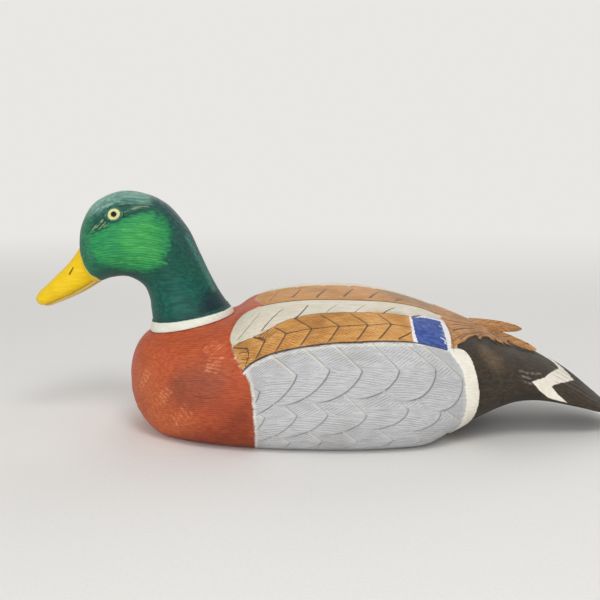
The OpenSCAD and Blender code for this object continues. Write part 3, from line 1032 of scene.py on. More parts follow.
# Lines along the body: shares of its length, with shares of its height or half width, or the powers
# that round its sections above and below the beam
TOP_LINE = (
    (0, 0.67), (0.04, 0.69), (0.11, 0.74), (0.21, 0.82), (0.245, 0.895), (0.29, 0.955), (0.35, 0.99),
    (0.42, 1), (0.49, 0.985), (0.56, 0.935), (0.63, 0.85), (0.70, 0.755), (0.77, 0.65), (0.84, 0.53),
    (0.90, 0.405), (0.96, 0.235), (1, 0.115),
)
FOOT_LINE = (
    (0, -0.04), (0.58, -0.04), (0.65, 0.03), (0.70, 0.10), (0.74, 0.17), (0.78, 0.22), (0.83, 0.23),
    (0.89, 0.20), (0.95, 0.155), (1, 0.10),
)
WIDE_LINE = (
    (0, 0.77), (0.08, 0.77), (0.14, 0.81), (0.20, 0.88), (0.29, 0.96), (0.41, 1), (0.48, 1), (0.56, 0.96),
    (0.63, 0.88), (0.69, 0.76), (0.74, 0.66), (0.80, 0.58), (0.86, 0.52), (0.92, 0.46), (1, 0.40),
)
BEAM_LINE = (
    (0, 0.36), (0.23, 0.40), (0.40, 0.42), (0.60, 0.42), (0.70, 0.40), (0.80, 0.34), (0.88, 0.25),
    (1, 0.107),
)
CROWN_LINE = ((0, 2.4), (0.12, 2.9), (0.20, 2.8), (0.50, 2.8), (0.66, 2.4), (0.80, 1.9), (1, 1.7))
BILGE_LINE = ((0, 2.6), (0.22, 4), (0.55, 4), (0.68, 2.6), (0.80, 2.2), (1, 2.2))

# Lines on the body: place along the length, and distance down from the middle of the back, in mm
CREAM_TOP = (
    (-63, 50), (-60, 37), (-55, 31), (-44, 30), (-32, 32), (-19, 33.5), (0, 35), (20, 35), (40, 30),
    (61, 23), (72, 23),
)
CREAM_FOOT = (
    (55, 44), (38, 49), (19, 52), (0, 53), (-10, 53.5), (-20, 55), (-29, 57), (-36, 60), (-43, 62.5),
    (-52, 62.5), (-61, 62),
)
FLANK_TOP = (
    (-54, 82), (-50, 80), (-42, 79), (-34, 78.5), (-19, 78), (0, 77), (18, 76), (37, 72.5), (50, 69),
    (62, 66), (73, 63),
)
FLANK_REAR = ((78, 66), (83, 71), (85, 79), (86, 88), (86, 96), (84.5, 106), (82, 120), (78, 130))
BREAST_REAR = (
    (-63, 50), (-61.5, 60), (-58.5, 72), (-54, 81), (-50, 91), (-48.5, 100), (-47.5, 116), (-47, 128),
    (-47.5, 149),
)
TERTIAL_END = (
    (77, 62), (81, 54), (86, 48), (91, 39), (97, 31), (99, 35), (102, 28), (107, 24), (111, 27), (111, 22),
    (117, 24), (117, 19), (123, 20), (121, 14), (125, 8),
)
# Fans of light brush strokes on the breast: where each starts and which way it goes
BREAST_FANS = (
    (-81, 56, 7, -7), (-93, 86, 6, 10), (-84, 144, 9, 4), (-120, 46, 4, 7), (-106, 68, 5, 7),
    (-76, 63, 9, 3),
)

BODY_PATCHES = (
    PaintPatch(
        "undercoat", "#c4b8a6", "#d2c8b8", "#b3a692",
        ((-150, -8), (80, -8), (80, 50), (88, 62), (90, 90), (80, 132), (60, 230), (-150, 230)),
    ),
    PaintPatch(
        "rump_brown", "#5c4b39", "#6e5b47", "#4a3c2b",
        ((97, 47), (99, 42), (105, 39), (112, 43), (110, 52), (102, 55)), ragged=6.0, soft=5.0,
    ),
    PaintPatch(
        "breast", "#b24f30", "#c66138", "#a3482d",
        ((-50, -8), (-50, 0), (-47, 13), (-42, 28), (-55, 31), (-60, 37)) + BREAST_REAR
        + ((-47.5, 190), (-60, 230), (-150, 230), (-150, -8)),
        ragged=2.4, soft=0.8, level=0.0, comb=0.6,
    ),
    PaintPatch(
        "breast_shade", "#974d38", "#a9583b", "#8b4732",
        ((-104, 68), (-92, 62), (-74, 66), (-63, 78), (-70, 90), (-88, 90), (-102, 82)),
        ragged=10.0, soft=10.0,
    ),
    # Painted highlight: paler orange over the front and lower front of the breast
    PaintPatch(
        "breast_glow", "#b65a33", "#c96d3f", "#a7502e",
        ((-128, 40), (-116, 44), (-110, 62), (-100, 90), (-84, 106), (-92, 114), (-112, 98), (-126, 70)),
        ragged=10.0, soft=10.0,
    ),
    # Painted shade: the lower breast darkened as if lit from above
    PaintPatch(
        "breast_low", "#883a22", "#9c4729", "#7d361f",
        ((-114, 120), (-86, 108), (-62, 106), (-47, 112), (-47, 172), (-114, 176)), ragged=10.0, soft=12.0,
    ),
    PaintPatch(
        "breast_strokes", "#d27850", "#e2956d", "#c16742",
        strokes=tuple(
            ((x - 0.2 * dv * i, v + 0.2 * du * i), (x + du - 0.25 * dv * i, v + dv + 0.25 * du * i))
            for x, v, du, dv in BREAST_FANS
            for i in range(5)
        ),
        breadth=0.5, ragged=1.4, soft=0.55,
    ),
    PaintPatch(
        "back", "#ba7e38", "#ce934b", "#a06a2b",
        ((-50, -8), (-50, 0), (-47, 13), (-43, 29)) + CREAM_TOP[4:-1] + ((70, 12), (70, -8)),
        ragged=2.0, soft=1.6, level=-0.15, comb=0.6, lines=-4,
    ),
    PaintPatch(
        "tertials", "#b07a47", "#c8955e", "#8f6035",
        ((58, -8), (58, 10), (60, 23), (72, 23), (74, 35), (76, 49)) + TERTIAL_END + ((126, -8),),
        ragged=0.8, comb=0.9, lines=-38, corners=True,
    ),
    PaintPatch(
        "back_shade", "#906a42", "#a47e52", "#7c5b34",
        ((38, -8), (38, 8), (46, 20), (58, 18), (70, 14), (72, -8)), ragged=8.0, soft=7.0,
    ),
    PaintPatch(
        "cream", "#d3c9b4", "#e0d8c8", "#c5cab6", ((-61, 60),) + CREAM_TOP + ((73, 30),) + CREAM_FOOT[:-1],
        ragged=0.5, level=-0.1, comb=0.2, lines=-8,
    ),
    PaintPatch(
        "wing", "#bd8444", "#d39c59", "#9f6c36",
        ((-61, 62), (-57, 61.5)) + CREAM_FOOT[-2:0:-1] + ((51, 46), (51, 58), (52.5, 68.5))
        + FLANK_TOP[-4:0:-1] + ((-54, 81.5), (-58, 72)),
        ragged=0.4, level=-0.4, comb=0.8, lines=24,
    ),
    PaintPatch(
        "wing_light", "#cb9453", "#dda868", "#b8823f",
        ((24, 52), (50, 48), (51, 66), (32, 72), (22, 66)), ragged=6.0, soft=5.0,
    ),
    PaintPatch(
        "flank", "#babbbd", "#c8c8ca", "#b1b0b0",
        FLANK_TOP + FLANK_REAR + ((74, 140), (66, 152), (58, 170), (50, 230), (-47.5, 230))
        + BREAST_REAR[:3:-1],
        ragged=1.2, soft=0.3, level=-0.8, bank=6.0, comb=0.9, lines=16,
    ),
    # Pale brushed spikes over the breast's border, and a painted highlight along the flank's raised top edge
    PaintPatch(
        "flank_rim", "#d5d2c9", "#e2dfd6", "#c8c6c0",
        strokes=(
            [(x + 0.5, v + 2.2) for x, v in FLANK_TOP[:-2]],
            [(x + 0.6, v) for x, v in BREAST_REAR[3:]],
        ),
        breadth=1.5, ragged=1.8, soft=0.7,
    ),
    PaintPatch(
        "band", "#f0eada", "#f8f4e8", "#e4ddcb",
        (
            (75, 62), (84, 56), (89, 58), (92, 65), (94, 72), (95, 80), (94.5, 88), (93, 98), (90, 112),
            (85, 124), (79, 131),
        ) + FLANK_REAR[-2::-1],
        ragged=1.3, level=0.0, comb=0.6, lines=-36,
    ),
    PaintPatch(
        "bars", "#e6e4e4", "#f1f0ee", "#d7d5dc",
        (
            (51, 45), (53.5, 43), (63, 38), (70, 34), (74, 32.5), (76, 40), (77, 49), (76, 61),
            (74, 63.5), (62, 66.3), (52.5, 69), (51, 59),
        ),
        ragged=0.7, level=-0.2, comb=0.0,
    ),
    PaintPatch(
        "speculum", "#35498f", "#516bac", "#2d3e85",
        (
            (52.3, 45.5), (63, 39.5), (72.5, 35.5), (73.5, 52), (74.5, 62.5), (62, 65.8), (54.2, 67.8),
            (52.8, 59),
        ),
        ragged=1.6, soft=0.25, level=-0.4, comb=0.4, corners=True,
    ),
    PaintPatch(
        "bar_wash", "#cbc6cf", "#d9d5dc", "#bdbac8", strokes=(((57, 40), (63, 36.5), (70, 33)),),
        breadth=2.2, ragged=2.4, soft=1.2,
    ),
    PaintPatch(
        "bar_strokes", "#e9e7ea", "#f4f3f2", "#ccd2e4",
        strokes=tuple(
            ((77, v), (x, v - 2))
            for x, v in ((72.5, 41), (71, 45), (72.5, 49), (71.5, 53), (70.5, 57), (72.5, 60))
        ),
        breadth=0.55, ragged=1.6, soft=0.5,
    ),
    # Painted shadow: a near-black wedge on the rump under the raised wing tip's lower edge
    PaintPatch(
        "tip_gap", "#0d0906", "#120d09", "#0a0705",
        ((125, 16), (132, 13), (141, 10), (148, 10.5), (139, 15.5), (129, 20.5)), ragged=0.4, soft=0.3,
    ),
    PaintPatch(
        "tail_smears", "#6f6c66", "#85837e", "#5b5851",
        strokes=(
            ((124, 44), (132, 41), (140, 36)), ((125, 47), (132, 45)), ((126, 50), (130, 49), (134, 47)),
        ),
        breadth=0.8, ragged=2.2, soft=0.8,
    ),
    PaintPatch(
        "tail_bars", "#ede5d5", "#f5efe2", "#ded5c3",
        (
            (132, -8), (132, 2.5), (144, 5), (150, 6), (154, 7), (156.5, 10), (157, 16), (142, 38),
            (132, 47), (138, 50), (144, 51), (157, 46), (150, 44.5), (146, 41.5), (159, 29), (167, 19),
            (163, 10), (158, 2), (154, 0), (154, -8),
        ),
        ragged=0.8, soft=0.3, comb=0.4, corners=True,
    ),
)
FAR_CREAM = PaintPatch(
    "far_cream", "#dad0ba", "#e7dfcc", "#cbbf9f",
    (
        (-51, 23), (-40, 15), (-15, 11.5), (10, 10.5), (30, 10), (50, 9), (66, 8), (74, 9), (74, 24),
        (60, 24), (40, 31), (10, 36), (-20, 35), (-44, 33),
    ),
    ragged=1.3, soft=0.5,
)

FLANK_ROWS = (
    FeatherRow(
        (
            (-45, 140, 0), (-25, 140, 0), (-5, 141, 0), (17, 141, 4), (39, 137, 10), (58, 131, 18),
            (72, 127, 24),
        ),
        reach=22, drop=9, step=0.6, lean=(24, -8), lower=0.5, upper=0.3, crest=0.45,
    ),
    FeatherRow(
        (
            (-41, 118, 0), (-21, 121, 0), (-2, 122, 0), (22, 122, 2), (48, 113, 12), (69, 106, 20),
            (84, 106, 28),
        ),
        reach=25, drop=12.5, step=0.75, lean=(24, -8), lower=0.6, upper=0.35, crest=0.45,
    ),
    FeatherRow(
        ((-44, 100, 0), (-21, 95, 0), (-1, 94, 0), (19, 94, 2), (42, 90, 6), (65, 80, 22), (83, 76, 28)),
        reach=27, drop=18.5, step=0.85, lean=(24, -8), lower=0.68, upper=0.4, crest=0.5,
    ),
)
WING_ROW = FeatherRow(
    ((-41, 68, 6), (-28, 67, 4), (-12, 66, 2), (5, 65, 3), (23, 63, 4), (38, 59, 4)),
    reach=24, drop=20, step=0.45, lean=(34, -34), lower=0.95, upper=0.85, rise=20, cover=12, fade=10,
    fullness=1.0, border=3.0,
)
# Where the cuts of the frayed rump feathers start
KNOT = (109, 12)
BODY_STROKES = (
    Stroke(((-58, 58), (-52, 52), (-45, 41)), 0.4, 0.25, 0.8),
    Stroke(((-43, 60), (-37, 52), (-30, 43)), 0.55, 0.3, 0.95),
    Stroke(((-22, 56), (-18, 51), (-14, 43)), 0.75, 0.35, 1.0),
    Stroke(((-2, 53), (0, 49), (5, 43)), 0.35, 0.2, 0.7),
    Stroke(((16, 52), (19, 47), (23, 42)), 0.35, 0.2, 0.7),
    Stroke(((34, 50), (37, 45), (42, 39)), 0.55, 0.25, 0.95),
    Stroke(((53, 45), (56, 42), (58.5, 39.5)), 1.3, 0.3, 1.0),
    Stroke(((42.5, 69), (47, 65), (51, 61)), 0.6, 0.4, 1.0),
    Stroke(((-40, 24), (-37, 13), (-35, 3)), 0.6, 0.4, 0.6, 0.7),
    Stroke(((-24, 24), (-21, 13), (-19, 3)), 1.1, 0.5, 0.95, 0.7),
    Stroke(((-8, 29), (-4, 16), (-1, 4)), 1.3, 0.5, 1.0, 0.7),
    Stroke(((10, 28), (14, 15), (17, 4)), 1.4, 0.5, 1.0, 0.7),
    Stroke(((27, 27), (31, 15), (34, 6)), 1.4, 0.5, 1.0, 0.7),
    Stroke(((44, 24), (47, 18), (50, 14)), 0.9, 0.4, 0.8, 0.7),
    Stroke(FLANK_TOP, 0.9, 0.5, 1.0, 0.4),
    Stroke(CREAM_TOP[3:], 1.0, 0.35, 0.95, 0.0),
    Stroke(CREAM_FOOT, 0.3, 0.2, 0.55, 0.0),
    Stroke(((-28, 67), (-12, 66), (5, 65), (23, 63), (38, 59), (51, 57)), 0.35, 0.2, 0.8, 0.0),
    Stroke(((-60, 63), (-56, 66), (-52, 69)), 0.5, 0.3, 1.0),
    Stroke(((-48, 63), (-44, 66), (-41, 69)), 0.5, 0.3, 1.0),
    Stroke(((-57, 69), (-54, 70), (-51, 72)), 0.45, 0.3, 0.9),
    Stroke(((-52, 68), (-51, 74), (-53, 80)), 0.4, 0.3, 0.9),
    Stroke(((-55, 74), (-52, 76), (-49, 75)), 0.4, 0.3, 0.8),
    *(
        Stroke(((-45 + 2.4 * i, 65 + 0.6 * i), (-40 + 2.4 * i, 60.5 + 0.6 * i)), 0.3, 0.15, 0.6)
        for i in range(4)
    ),
    Stroke(((75, 29), (84, 24), (96, 14), (104, 5)), 0.5, 0.5, 0.95),
    Stroke(((80, 41), (88, 31), (98, 20)), 0.6, 0.5, 1.0),
    Stroke(((82, 31), (93, 21), (105, 11)), 0.5, 0.4, 0.85),
    Stroke(((72, 20), (84, 14), (98, 4)), 0.4, 0.4, 0.8),
    Stroke(((84, 47), (91, 36), (103, 21)), 0.4, 0.4, 0.75),
    Stroke(((79, 52), (86, 41), (94, 31)), 0.4, 0.3, 0.6),
    Stroke(((98, 33), (103, 24), (109, 17)), 0.4, 0.3, 0.8),
    Stroke(((77, 36), (78, 49), (78, 61)), 0.3, 0.25, 0.7),
    Stroke(((83, 53), (87, 48.5), (92, 39.5), (97, 32.5)), 0.6, 0.3, 1.0, 0.0),
    *(Stroke((KNOT, (KNOT[0] + 9 + i, KNOT[1] - 8 + 4.5 * i)), 0.45, 0.35, 0.8) for i in range(5)),
    *(Stroke((KNOT, (KNOT[0] + 8 + i, KNOT[1] - 6 + 4.5 * i)), 0.35, 0.2, -0.45) for i in range(4)),
    *(Stroke(((151, v), (172, 0.92 * v), (197, 0.7 * v)), 0.3, 0.35, 0.7, 0.5) for v in range(5, 42, 6)),
    *(Stroke(((152, v), (168, 0.94 * v), (182, 0.86 * v)), 0.2, 0.1, -0.3, 0.7) for v in (8, 20, 26, 32)),
    Stroke(((-100, 68), (-90, 73), (-80, 76)), 0.4, 0.2, 0.4),
    Stroke(((-86, 84), (-78, 88.5), (-70, 90)), 0.5, 0.25, 0.55),
    Stroke(((-62, 80), (-60, 77), (-58, 75)), 0.35, 0.2, 0.5),
    *(Stroke(((x, v), (x - 3, v + 9)), 0.35, 0.2, 0.45) for x, v in ((-26, 142), (-6, 143), (38, 140))),
)

BODY_PAINT = BrushedPaint(
    "acrylic on carved basswood, burnt and brushed", BODY_PATCHES + (FAR_CREAM,),
    "#352e25", "#463d32", "#2b261f", barb_pitch=1.5, burn="#40342c",
)
BARE_WOOD = SandedWood("basswood, bored and bare", "#c3a179", "#a5825a", 2.2, (10, 1, 1))


@dataclass(frozen=True)
class WingTip:
    """One raised wing tip, a thin leaf let into the rump. Sizes are in mm and agree with the solids.

    Splits are shares of the length at which barbs part, and split how far each runs back and outwards.
    """

    side: Side
    length: float
    slope: float
    width: float = 13.0
    thickness: float = 2.6
    setback: float = 100.0
    offset: float = 8.0
    roll: float = 28.0
    widest: float = 0.35
    taper: float = 0.66
    inset: float = 0.03
    rake: float = 0.55
    barb_depth: float = 0.15
    shaft_height: float = 0.22
    shaft_width: float = 0.5
    shaft_offset: float = 0.4
    shaft_pale: float = 0.4
    thinning: float = 0.5
    root_shade: float = 0.35
    root_run: float = 9.0
    rim_shade: float = 0.25
    rim_width: float = 0.6
    splits: tuple[float, ...] = (0.3, 0.46, 0.62, 0.78)
    split: Pair = (6.0, 6.5)
    split_root: float = 0.8
    columns: int = 120
    rows: int = 97

    def piece(self, place: Vector) -> Piece:
        """Builds the leaf with its shaft, split barbs and thin edges.

        Args:
            place: Where its root is let in, in mm.

        Returns:
            The piece.
        """
        t = np.linspace(0, 1, self.columns)[None, :]
        angle = np.linspace(0, 2 * np.pi, self.rows)[:, None]
        half = self.width / 2 * np.sqrt(1 - ((t - self.widest) / self.taper) ** 2)
        thick = self.thickness / 2 * (1 - self.thinning * t)
        across, up = half * np.cos(angle), thick * np.sin(angle)
        points = np.stack(np.broadcast_arrays(t * self.length, across, up), -1)
        skin = Skin(points, points[..., 0].copy(), points[..., 1].copy())
        reach, lateral = skin.u, np.abs(skin.v)
        barb = lateral - self.rake * reach
        skin.marks["barb"] = barb
        skin.marks["comb"] += 1.0
        skin.height -= self.barb_depth * (1 + np.sin(barb * 2.1 + np.sin(reach / 5.0)))
        shaft = ridge(skin.v - self.shaft_offset, self.shaft_width)
        skin.height -= self.shaft_height * (1 - shaft)
        skin.marks["pale"] = self.shaft_pale * shaft
        skin.marks["shade"] += self.root_shade * (1 - ease(0, self.root_run, reach))
        skin.marks["shade"] += self.rim_shade * ridge(half - lateral, self.rim_width)
        for share in self.splits:
            for way in (-1, 1):
                start = share * self.length + way
                end = (start + self.split[0], self.split[1] * way)
                skin.cut(Stroke(((start, self.split_root * way), end), 0.3, 0.35, 0.75))
        skin.settle(self.inset)
        turn = Matrix.Rotation(math.radians(self.slope), 4, "Y")
        roll = Matrix.Rotation(math.radians(self.roll), 4, "X")
        return skin.piece(f"{self.side.label}_primaries", Matrix.Translation(place) @ turn @ roll)


TIP_PAINT = BrushedPaint(
    "brown acrylic on thin basswood, burnt and brushed", (), "#b27a45", "#c99560", "#95622f", barb_pitch=1.6,
)


@dataclass
class CarvedBody(SubAssembly):
    """The carved body: a hollow upper part, the flat board glued under it and the two wing tips.

    All sizes are in mm and agree with the solids. Weights tell how close together the columns of the
    grid lie, and crowding how far its rows are drawn to the back and the beam. Each start, flush, foot
    fade and cream margin give the ends of a gradual change.
    """

    body = Body.DECOY
    length: float = 336.0
    width: float = 151.0
    height: float = 96.0
    tail_reach: float = 200.0
    breast_share: float = 0.36
    breast_round: float = 62.0
    breast_lip: float = 15.0
    breast_foot: float = 34.0
    tail_round: float = 26.0
    tail_skim: float = 0.305
    neck_setback: float = 43.0
    neck_tilt: float = 12.0
    neck_radius: float = 29.5
    flare_slope: float = 1.8
    flare_fillet: float = 6.0
    seat_room: float = 0.3
    seat_edge: float = 2.0
    board_thickness: float = 16.0
    board_share: float = 0.8
    board_edge: float = 1.8
    recess_gap: float = 0.1
    ballast_top: float = 7.6
    pocket_radius: float = 11.9
    pocket_depth: float = 6.2
    pocket_places: Pair = (-84.0, -74.8)
    columns: int = 330
    upper_rows: int = 148
    side_rows: int = 22
    under_rows: int = 14
    ring_samples: int = 900
    place_samples: int = 3000
    lift: float = 0.02
    flat: float = 0.05
    crowding: float = 0.95
    feathered: Pair = (-80.0, 108.0)
    feathered_weight: float = 1.3
    plain_weight: float = 0.85
    ground_comb: float = 0.35
    breast_rake: float = 0.25
    knife_depth: float = 0.16
    rump_step: float = 1.1
    rump_run: float = 18.0
    rump_shade: float = 0.6
    rump_start: Pair = (70.0, 80.0)
    rump_shade_start: Pair = (72.0, 80.0)
    seam_margin: float = 2.5
    flush: Pair = (-112.0, -100.0)
    foot_fade: Pair = (0.3, 3.0)
    cream_margin: Pair = (-8.0, -4.0)
    inset: float = 0.06
    tips: tuple[WingTip, ...] = (WingTip(Side.LEFT, 46.0, 20.0), WingTip(Side.RIGHT, 37.0, 7.0))

    @property
    def breast_x(self) -> float:
        """Place of the breast's foremost point."""
        return self.tail_reach - self.length

    def profile(self, line: Line, rounding: float, s: Array) -> Array:
        """Gives the height of the back or the underside, drawn in to the breast's foremost point.

        Args:
            line: Its line along the body.
            rounding: How far behind the breast it is rounded.
            s: Places from the breast.

        Returns:
            Heights.
        """
        breast_z = self.breast_share * self.height
        full = self.height * curve(line, s / self.length)
        return breast_z + (full - breast_z) * rounded(s, rounding)

    def foot(self, s: Array) -> Array:
        """Gives the height of the underside at places from the breast."""
        return self.profile(FOOT_LINE, self.breast_foot, s)

    def top(self, s: Array) -> Array:
        """Gives the height of the back at places from the breast."""
        return self.profile(TOP_LINE, self.breast_lip, s)

    def ring(self, s: Array, a: Array) -> tuple[Array, Array]:
        """Gives one side of the body's sections.

        Args:
            s: Places along the length.
            a: Angles from the beam, up or down.

        Returns:
            Distances from the middle and heights.
        """
        share, x = s / self.length, self.breast_x + s
        half = self.width / 2 * curve(WIDE_LINE, share)
        half = half * rounded(s, self.breast_round) * rounded(self.length - s, self.tail_round)
        beam = self.height * curve(BEAM_LINE, share)
        up = np.sin(a) > 0
        fullness = np.where(up, 2 / curve(CROWN_LINE, share), 2 / curve(BILGE_LINE, share))
        y = half * np.abs(np.cos(a)) ** fullness
        reach = np.where(up, self.top(s) - beam, beam - self.foot(s))
        z = beam + reach * signed_power(np.sin(a), fullness)
        tilt = math.radians(self.neck_tilt)
        ahead = x - self.breast_x - self.neck_setback
        seat = self.height * curve(TOP_LINE, np.array(self.neck_setback / self.length))
        seat = seat + ahead * math.tan(tilt)
        away = np.hypot(ahead / math.cos(tilt), y)
        flare = seat - self.flare_slope * np.maximum(away - self.neck_radius, 0)
        flared = soft_max(z, flare, self.flare_fillet)
        inner = self.neck_radius + self.seat_room
        flared -= np.maximum(flared - seat, 0) * (1 - ease(inner, inner + self.seat_edge, away))
        return y, np.where(up, flared, soft_max(z, 0.0, self.board_edge))

    def places(self) -> Array:
        """Chooses places along the length, closer together where feathers are carved.

        Returns:
            Places from the breast.
        """
        t = np.linspace(0, 1, self.place_samples)
        s = (self.length - self.tail_skim) * (0.5 - 0.5 * np.cos(np.pi * t))
        y, z = self.ring(s[None, :], np.radians([[88.0], [45.0], [5.0], [-45.0], [-85.0]]))
        step = np.sqrt(np.diff(s) ** 2 + np.diff(y) ** 2 + np.diff(z) ** 2).max(axis=0)
        x = self.breast_x + s[1:]
        feathered = (x > self.feathered[0]) & (x < self.feathered[1])
        weight = np.where(feathered, self.feathered_weight, self.plain_weight)
        return spaced(s, step * weight, self.columns)

    def half_skin(self, part: Part) -> Skin:
        """Lays out one side of a part, from the back or the seam downwards.

        Args:
            part: Which part of the body.

        Returns:
            The plain surface, with drawing coordinates along the length and down the side.
        """
        s = self.places()
        share = np.linspace(0, 1, self.ring_samples)[:, None]
        angle = np.pi * (0.5 - share + self.crowding * np.sin(4 * np.pi * share) / (4 * np.pi))
        y, z = self.ring(s[None, :], angle)
        step = np.hypot(np.diff(y, axis=0), np.diff(z, axis=0))
        girth = np.concatenate([np.zeros((1, s.size)), np.cumsum(step, 0)])
        glued = (self.foot(s) < self.board_thickness) & (s < self.board_share * self.length)
        down = [(girth[::-1, c], y[::-1, c], z[::-1, c]) for c in range(s.size)]
        seam = [np.interp(self.board_thickness, h, g) if on else g[0] for (g, _, h), on in zip(down, glued)]
        edge = [np.interp(self.lift, h, g) for g, _, h in down]
        if part is Part.UPPER:
            rows = np.linspace(0, 1, self.upper_rows + 1)[:, None] * np.array(seam)
        else:
            board = slice(np.flatnonzero(glued)[0] - 1, np.flatnonzero(glued)[-1] + 2)
            s, down, seam = s[board], down[board], np.array(seam[board])
            edge = np.maximum(edge[board], seam)
            side = np.linspace(0, 1, self.side_rows, endpoint=False)[:, None]
            under = np.linspace(0, 1, self.under_rows + 1)[:, None]
            end = np.array([g[0] for g, _, _ in down])
            rows = np.concatenate([seam + side * (edge - seam), edge + under * (end - edge)])
        cells = [
            [np.interp(rows[:, c], g[::-1], k[::-1]) for k in (w, h)]
            for c, (g, w, h) in enumerate(down)
        ]
        across, up = np.array(cells).transpose(1, 2, 0)
        points = np.stack([np.broadcast_to(self.breast_x + s, rows.shape), across, up], 2)
        return Skin(points, points[..., 0].copy(), rows)

    def carve(self, skin: Skin) -> None:
        """Cuts feathers and grooves into one side and marks out its paint.

        Args:
            skin: One side of a part.
        """
        skin.marks["comb"] += self.ground_comb
        skin.marks[FAR_CREAM.name] = np.full(skin.u.shape, -FAR)
        skin.draw(BODY_PATCHES)
        level = self.breast_rake * skin.v - skin.points[..., 2]
        skin.marks["barb"] = np.where(skin.marks["breast"] > 0, level, skin.marks["barb"])
        tertials = skin.marks["tertials"]
        outside = -np.maximum(tertials, skin.marks["band"])
        step = self.rump_step * ease(0, 0.8, outside) * ease(*self.rump_start, skin.u)
        skin.height -= step * (1 - ease(0, self.rump_run, outside))
        shade = self.rump_shade * ease(0, 0.5, outside) * ease(*self.rump_shade_start, skin.u)
        skin.marks["shade"] = shade * (1 - ease(0, 5, -tertials))
        for row in FLANK_ROWS:
            skin.carve(row, "flank")
        skin.carve(WING_ROW, "wing")
        skin.draw(strokes=BODY_STROKES)
        facets = np.sin(skin.u / 5.3 + 1.7 * np.sin(skin.v / 8.1))
        facets = facets * np.sin(skin.v / 6.4 + 1.1 * np.sin(skin.u / 11.0))
        skin.height += self.knife_depth * (facets - 1) * ease(0, 4, skin.marks["breast"])

    def seated(self, skin: Skin) -> Array:
        """Tells how much of the carving a part keeps, as both parts meet flush at the seam's front."""
        near = 1 - ease(0, self.seam_margin, np.abs(skin.points[..., 2] - self.board_thickness))
        return 1 - near * (1 - ease(*self.flush, skin.u))

    def upper(self) -> Piece:
        """Builds the upper body, closed at the tail and along the seam.

        Returns:
            The piece.
        """
        half = self.half_skin(Part.UPPER)
        self.carve(half)
        whole = half.mirrored()
        whole.v = np.where(whole.points[..., 1] < 0, -whole.v, whole.v)
        whole.lay(FAR_CREAM)
        whole.marks["ink"] *= 1 - ease(*self.cream_margin, whole.marks[FAR_CREAM.name])
        share = self.seated(whole)
        whole.height *= share
        whole.settle(self.inset * share[..., None])
        whole.points[..., 0] = np.minimum(whole.points[..., 0], self.tail_reach - self.tail_skim)
        whole.pinch()
        return whole.piece("carved_upper_body")

    def board(self) -> Piece:
        """Builds the bottom board, with its flat underside as the second material.

        Returns:
            The piece.
        """
        half = self.half_skin(Part.BOARD)
        self.carve(half)
        whole = half.turned_over().mirrored()
        share = self.seated(whole) * ease(*self.foot_fade, whole.points[..., 2])
        whole.height *= share
        whole.settle(self.inset * share[..., None])
        piece = whole.piece("bottom_board")
        for face in piece.data.polygons:
            face.material_index = int(face.center.z < self.flat * MM and face.normal.z < -0.9)
        return piece

    def cut_pockets(self, board: Piece, bare: bpy.types.Material) -> None:
        """Cuts the pockets for the ballast and the line ring in the underside.

        Args:
            board: The bottom board.
            bare: The material inside the pockets.
        """
        low, high = (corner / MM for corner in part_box("ballast_weight"))
        size = high - low + 2 * Vector((self.recess_gap,) * 3)
        size.z = 2 * self.ballast_top
        middle = (low + high) / 2
        plate = bmesh.new()
        bmesh.ops.create_cube(plate, size=1.0, matrix=Matrix.Diagonal(size).to_4x4())
        cutters = [(plate, (middle.x, middle.y, 0))]
        for x in self.pocket_places:
            hole = bmesh.new()
            bmesh.ops.create_cone(
                hole, cap_ends=True, segments=72, radius1=self.pocket_radius, radius2=self.pocket_radius,
                depth=2 * self.pocket_depth,
            )
            cutters.append((hole, (x, 0, 0)))
        for bm, place in cutters:
            cutter = new_piece("pocket_cutter", bm, Matrix.Translation(place), smooth=False)
            cutter.data.materials.append(bare)
            cut = board.modifiers.new(cutter.name, "BOOLEAN")
            cut.operation = "DIFFERENCE"
            cut.solver = "EXACT"
            cut.material_mode = "TRANSFER"
            cut.object = cutter
            shape = board.evaluated_get(bpy.context.evaluated_depsgraph_get())
            mesh = bpy.data.meshes.new_from_object(shape)
            board.modifiers.clear()
            board.data = mesh
            bpy.data.objects.remove(cutter)

    def build(self) -> None:
        """Builds and dresses the upper body, the board and the wing tips."""
        paint, bare, brown = (finish.material() for finish in (BODY_PAINT, BARE_WOOD, TIP_PAINT))
        self.dress(self.upper(), "body_upper", "painted_body", paint)
        board = self.board()
        self.dress(board, "body_bottom", "painted_board", paint, RubbedPrimer().material(), bare)
        self.cut_pockets(board, bare)
        for tip in self.tips:
            s = np.array(self.length - tip.setback)
            height = float(self.top(s)) - tip.thickness
            root = Vector((self.breast_x + float(s), tip.side.value * tip.offset, height))
            self.dress(tip.piece(root), f"{tip.side.label}_wing_tip", "painted_wing_tip", brown)


# Turning head

# Stations from the neck to the face: throat along and up, nape along and up, and half the width
HEAD_LINE = (
    (-0.40, 0.165, 0.36, 0.17, 0.905), (-0.39, 0.24, 0.30, 0.31, 0.85),
    (-0.42, 0.33, 0.247, 0.47, 0.86), (-0.55, 0.407, 0.17, 0.675, 0.945),
    (-0.717, 0.425, -0.026, 0.886, 1), (-0.848, 0.416, -0.373, 1, 0.955),
    (-0.93, 0.417, -0.70, 0.97, 0.815), (-0.965, 0.455, -0.89, 0.85, 0.63),
    (-0.99, 0.547, -0.965, 0.717, 0.33), (-0.995, 0.616, -0.99, 0.657, 0.09),
)
BILL_TOP_LINE = ((-0.2, 0.5), (0, 0.5), (0.18, 0.39), (0.36, 0.30), (0.54, 0.25), (0.71, 0.2), (1, 0.14))
BILL_FOOT_LINE = (
    (-0.2, -0.55), (0, -0.53), (0.31, -0.5), (0.48, -0.46), (0.65, -0.40), (0.81, -0.33), (1, -0.25),
)
BILL_WIDE_LINE = ((-0.2, 1), (0, 1), (0.2, 0.95), (0.4, 0.94), (0.6, 0.97), (0.75, 1), (1, 0.94))

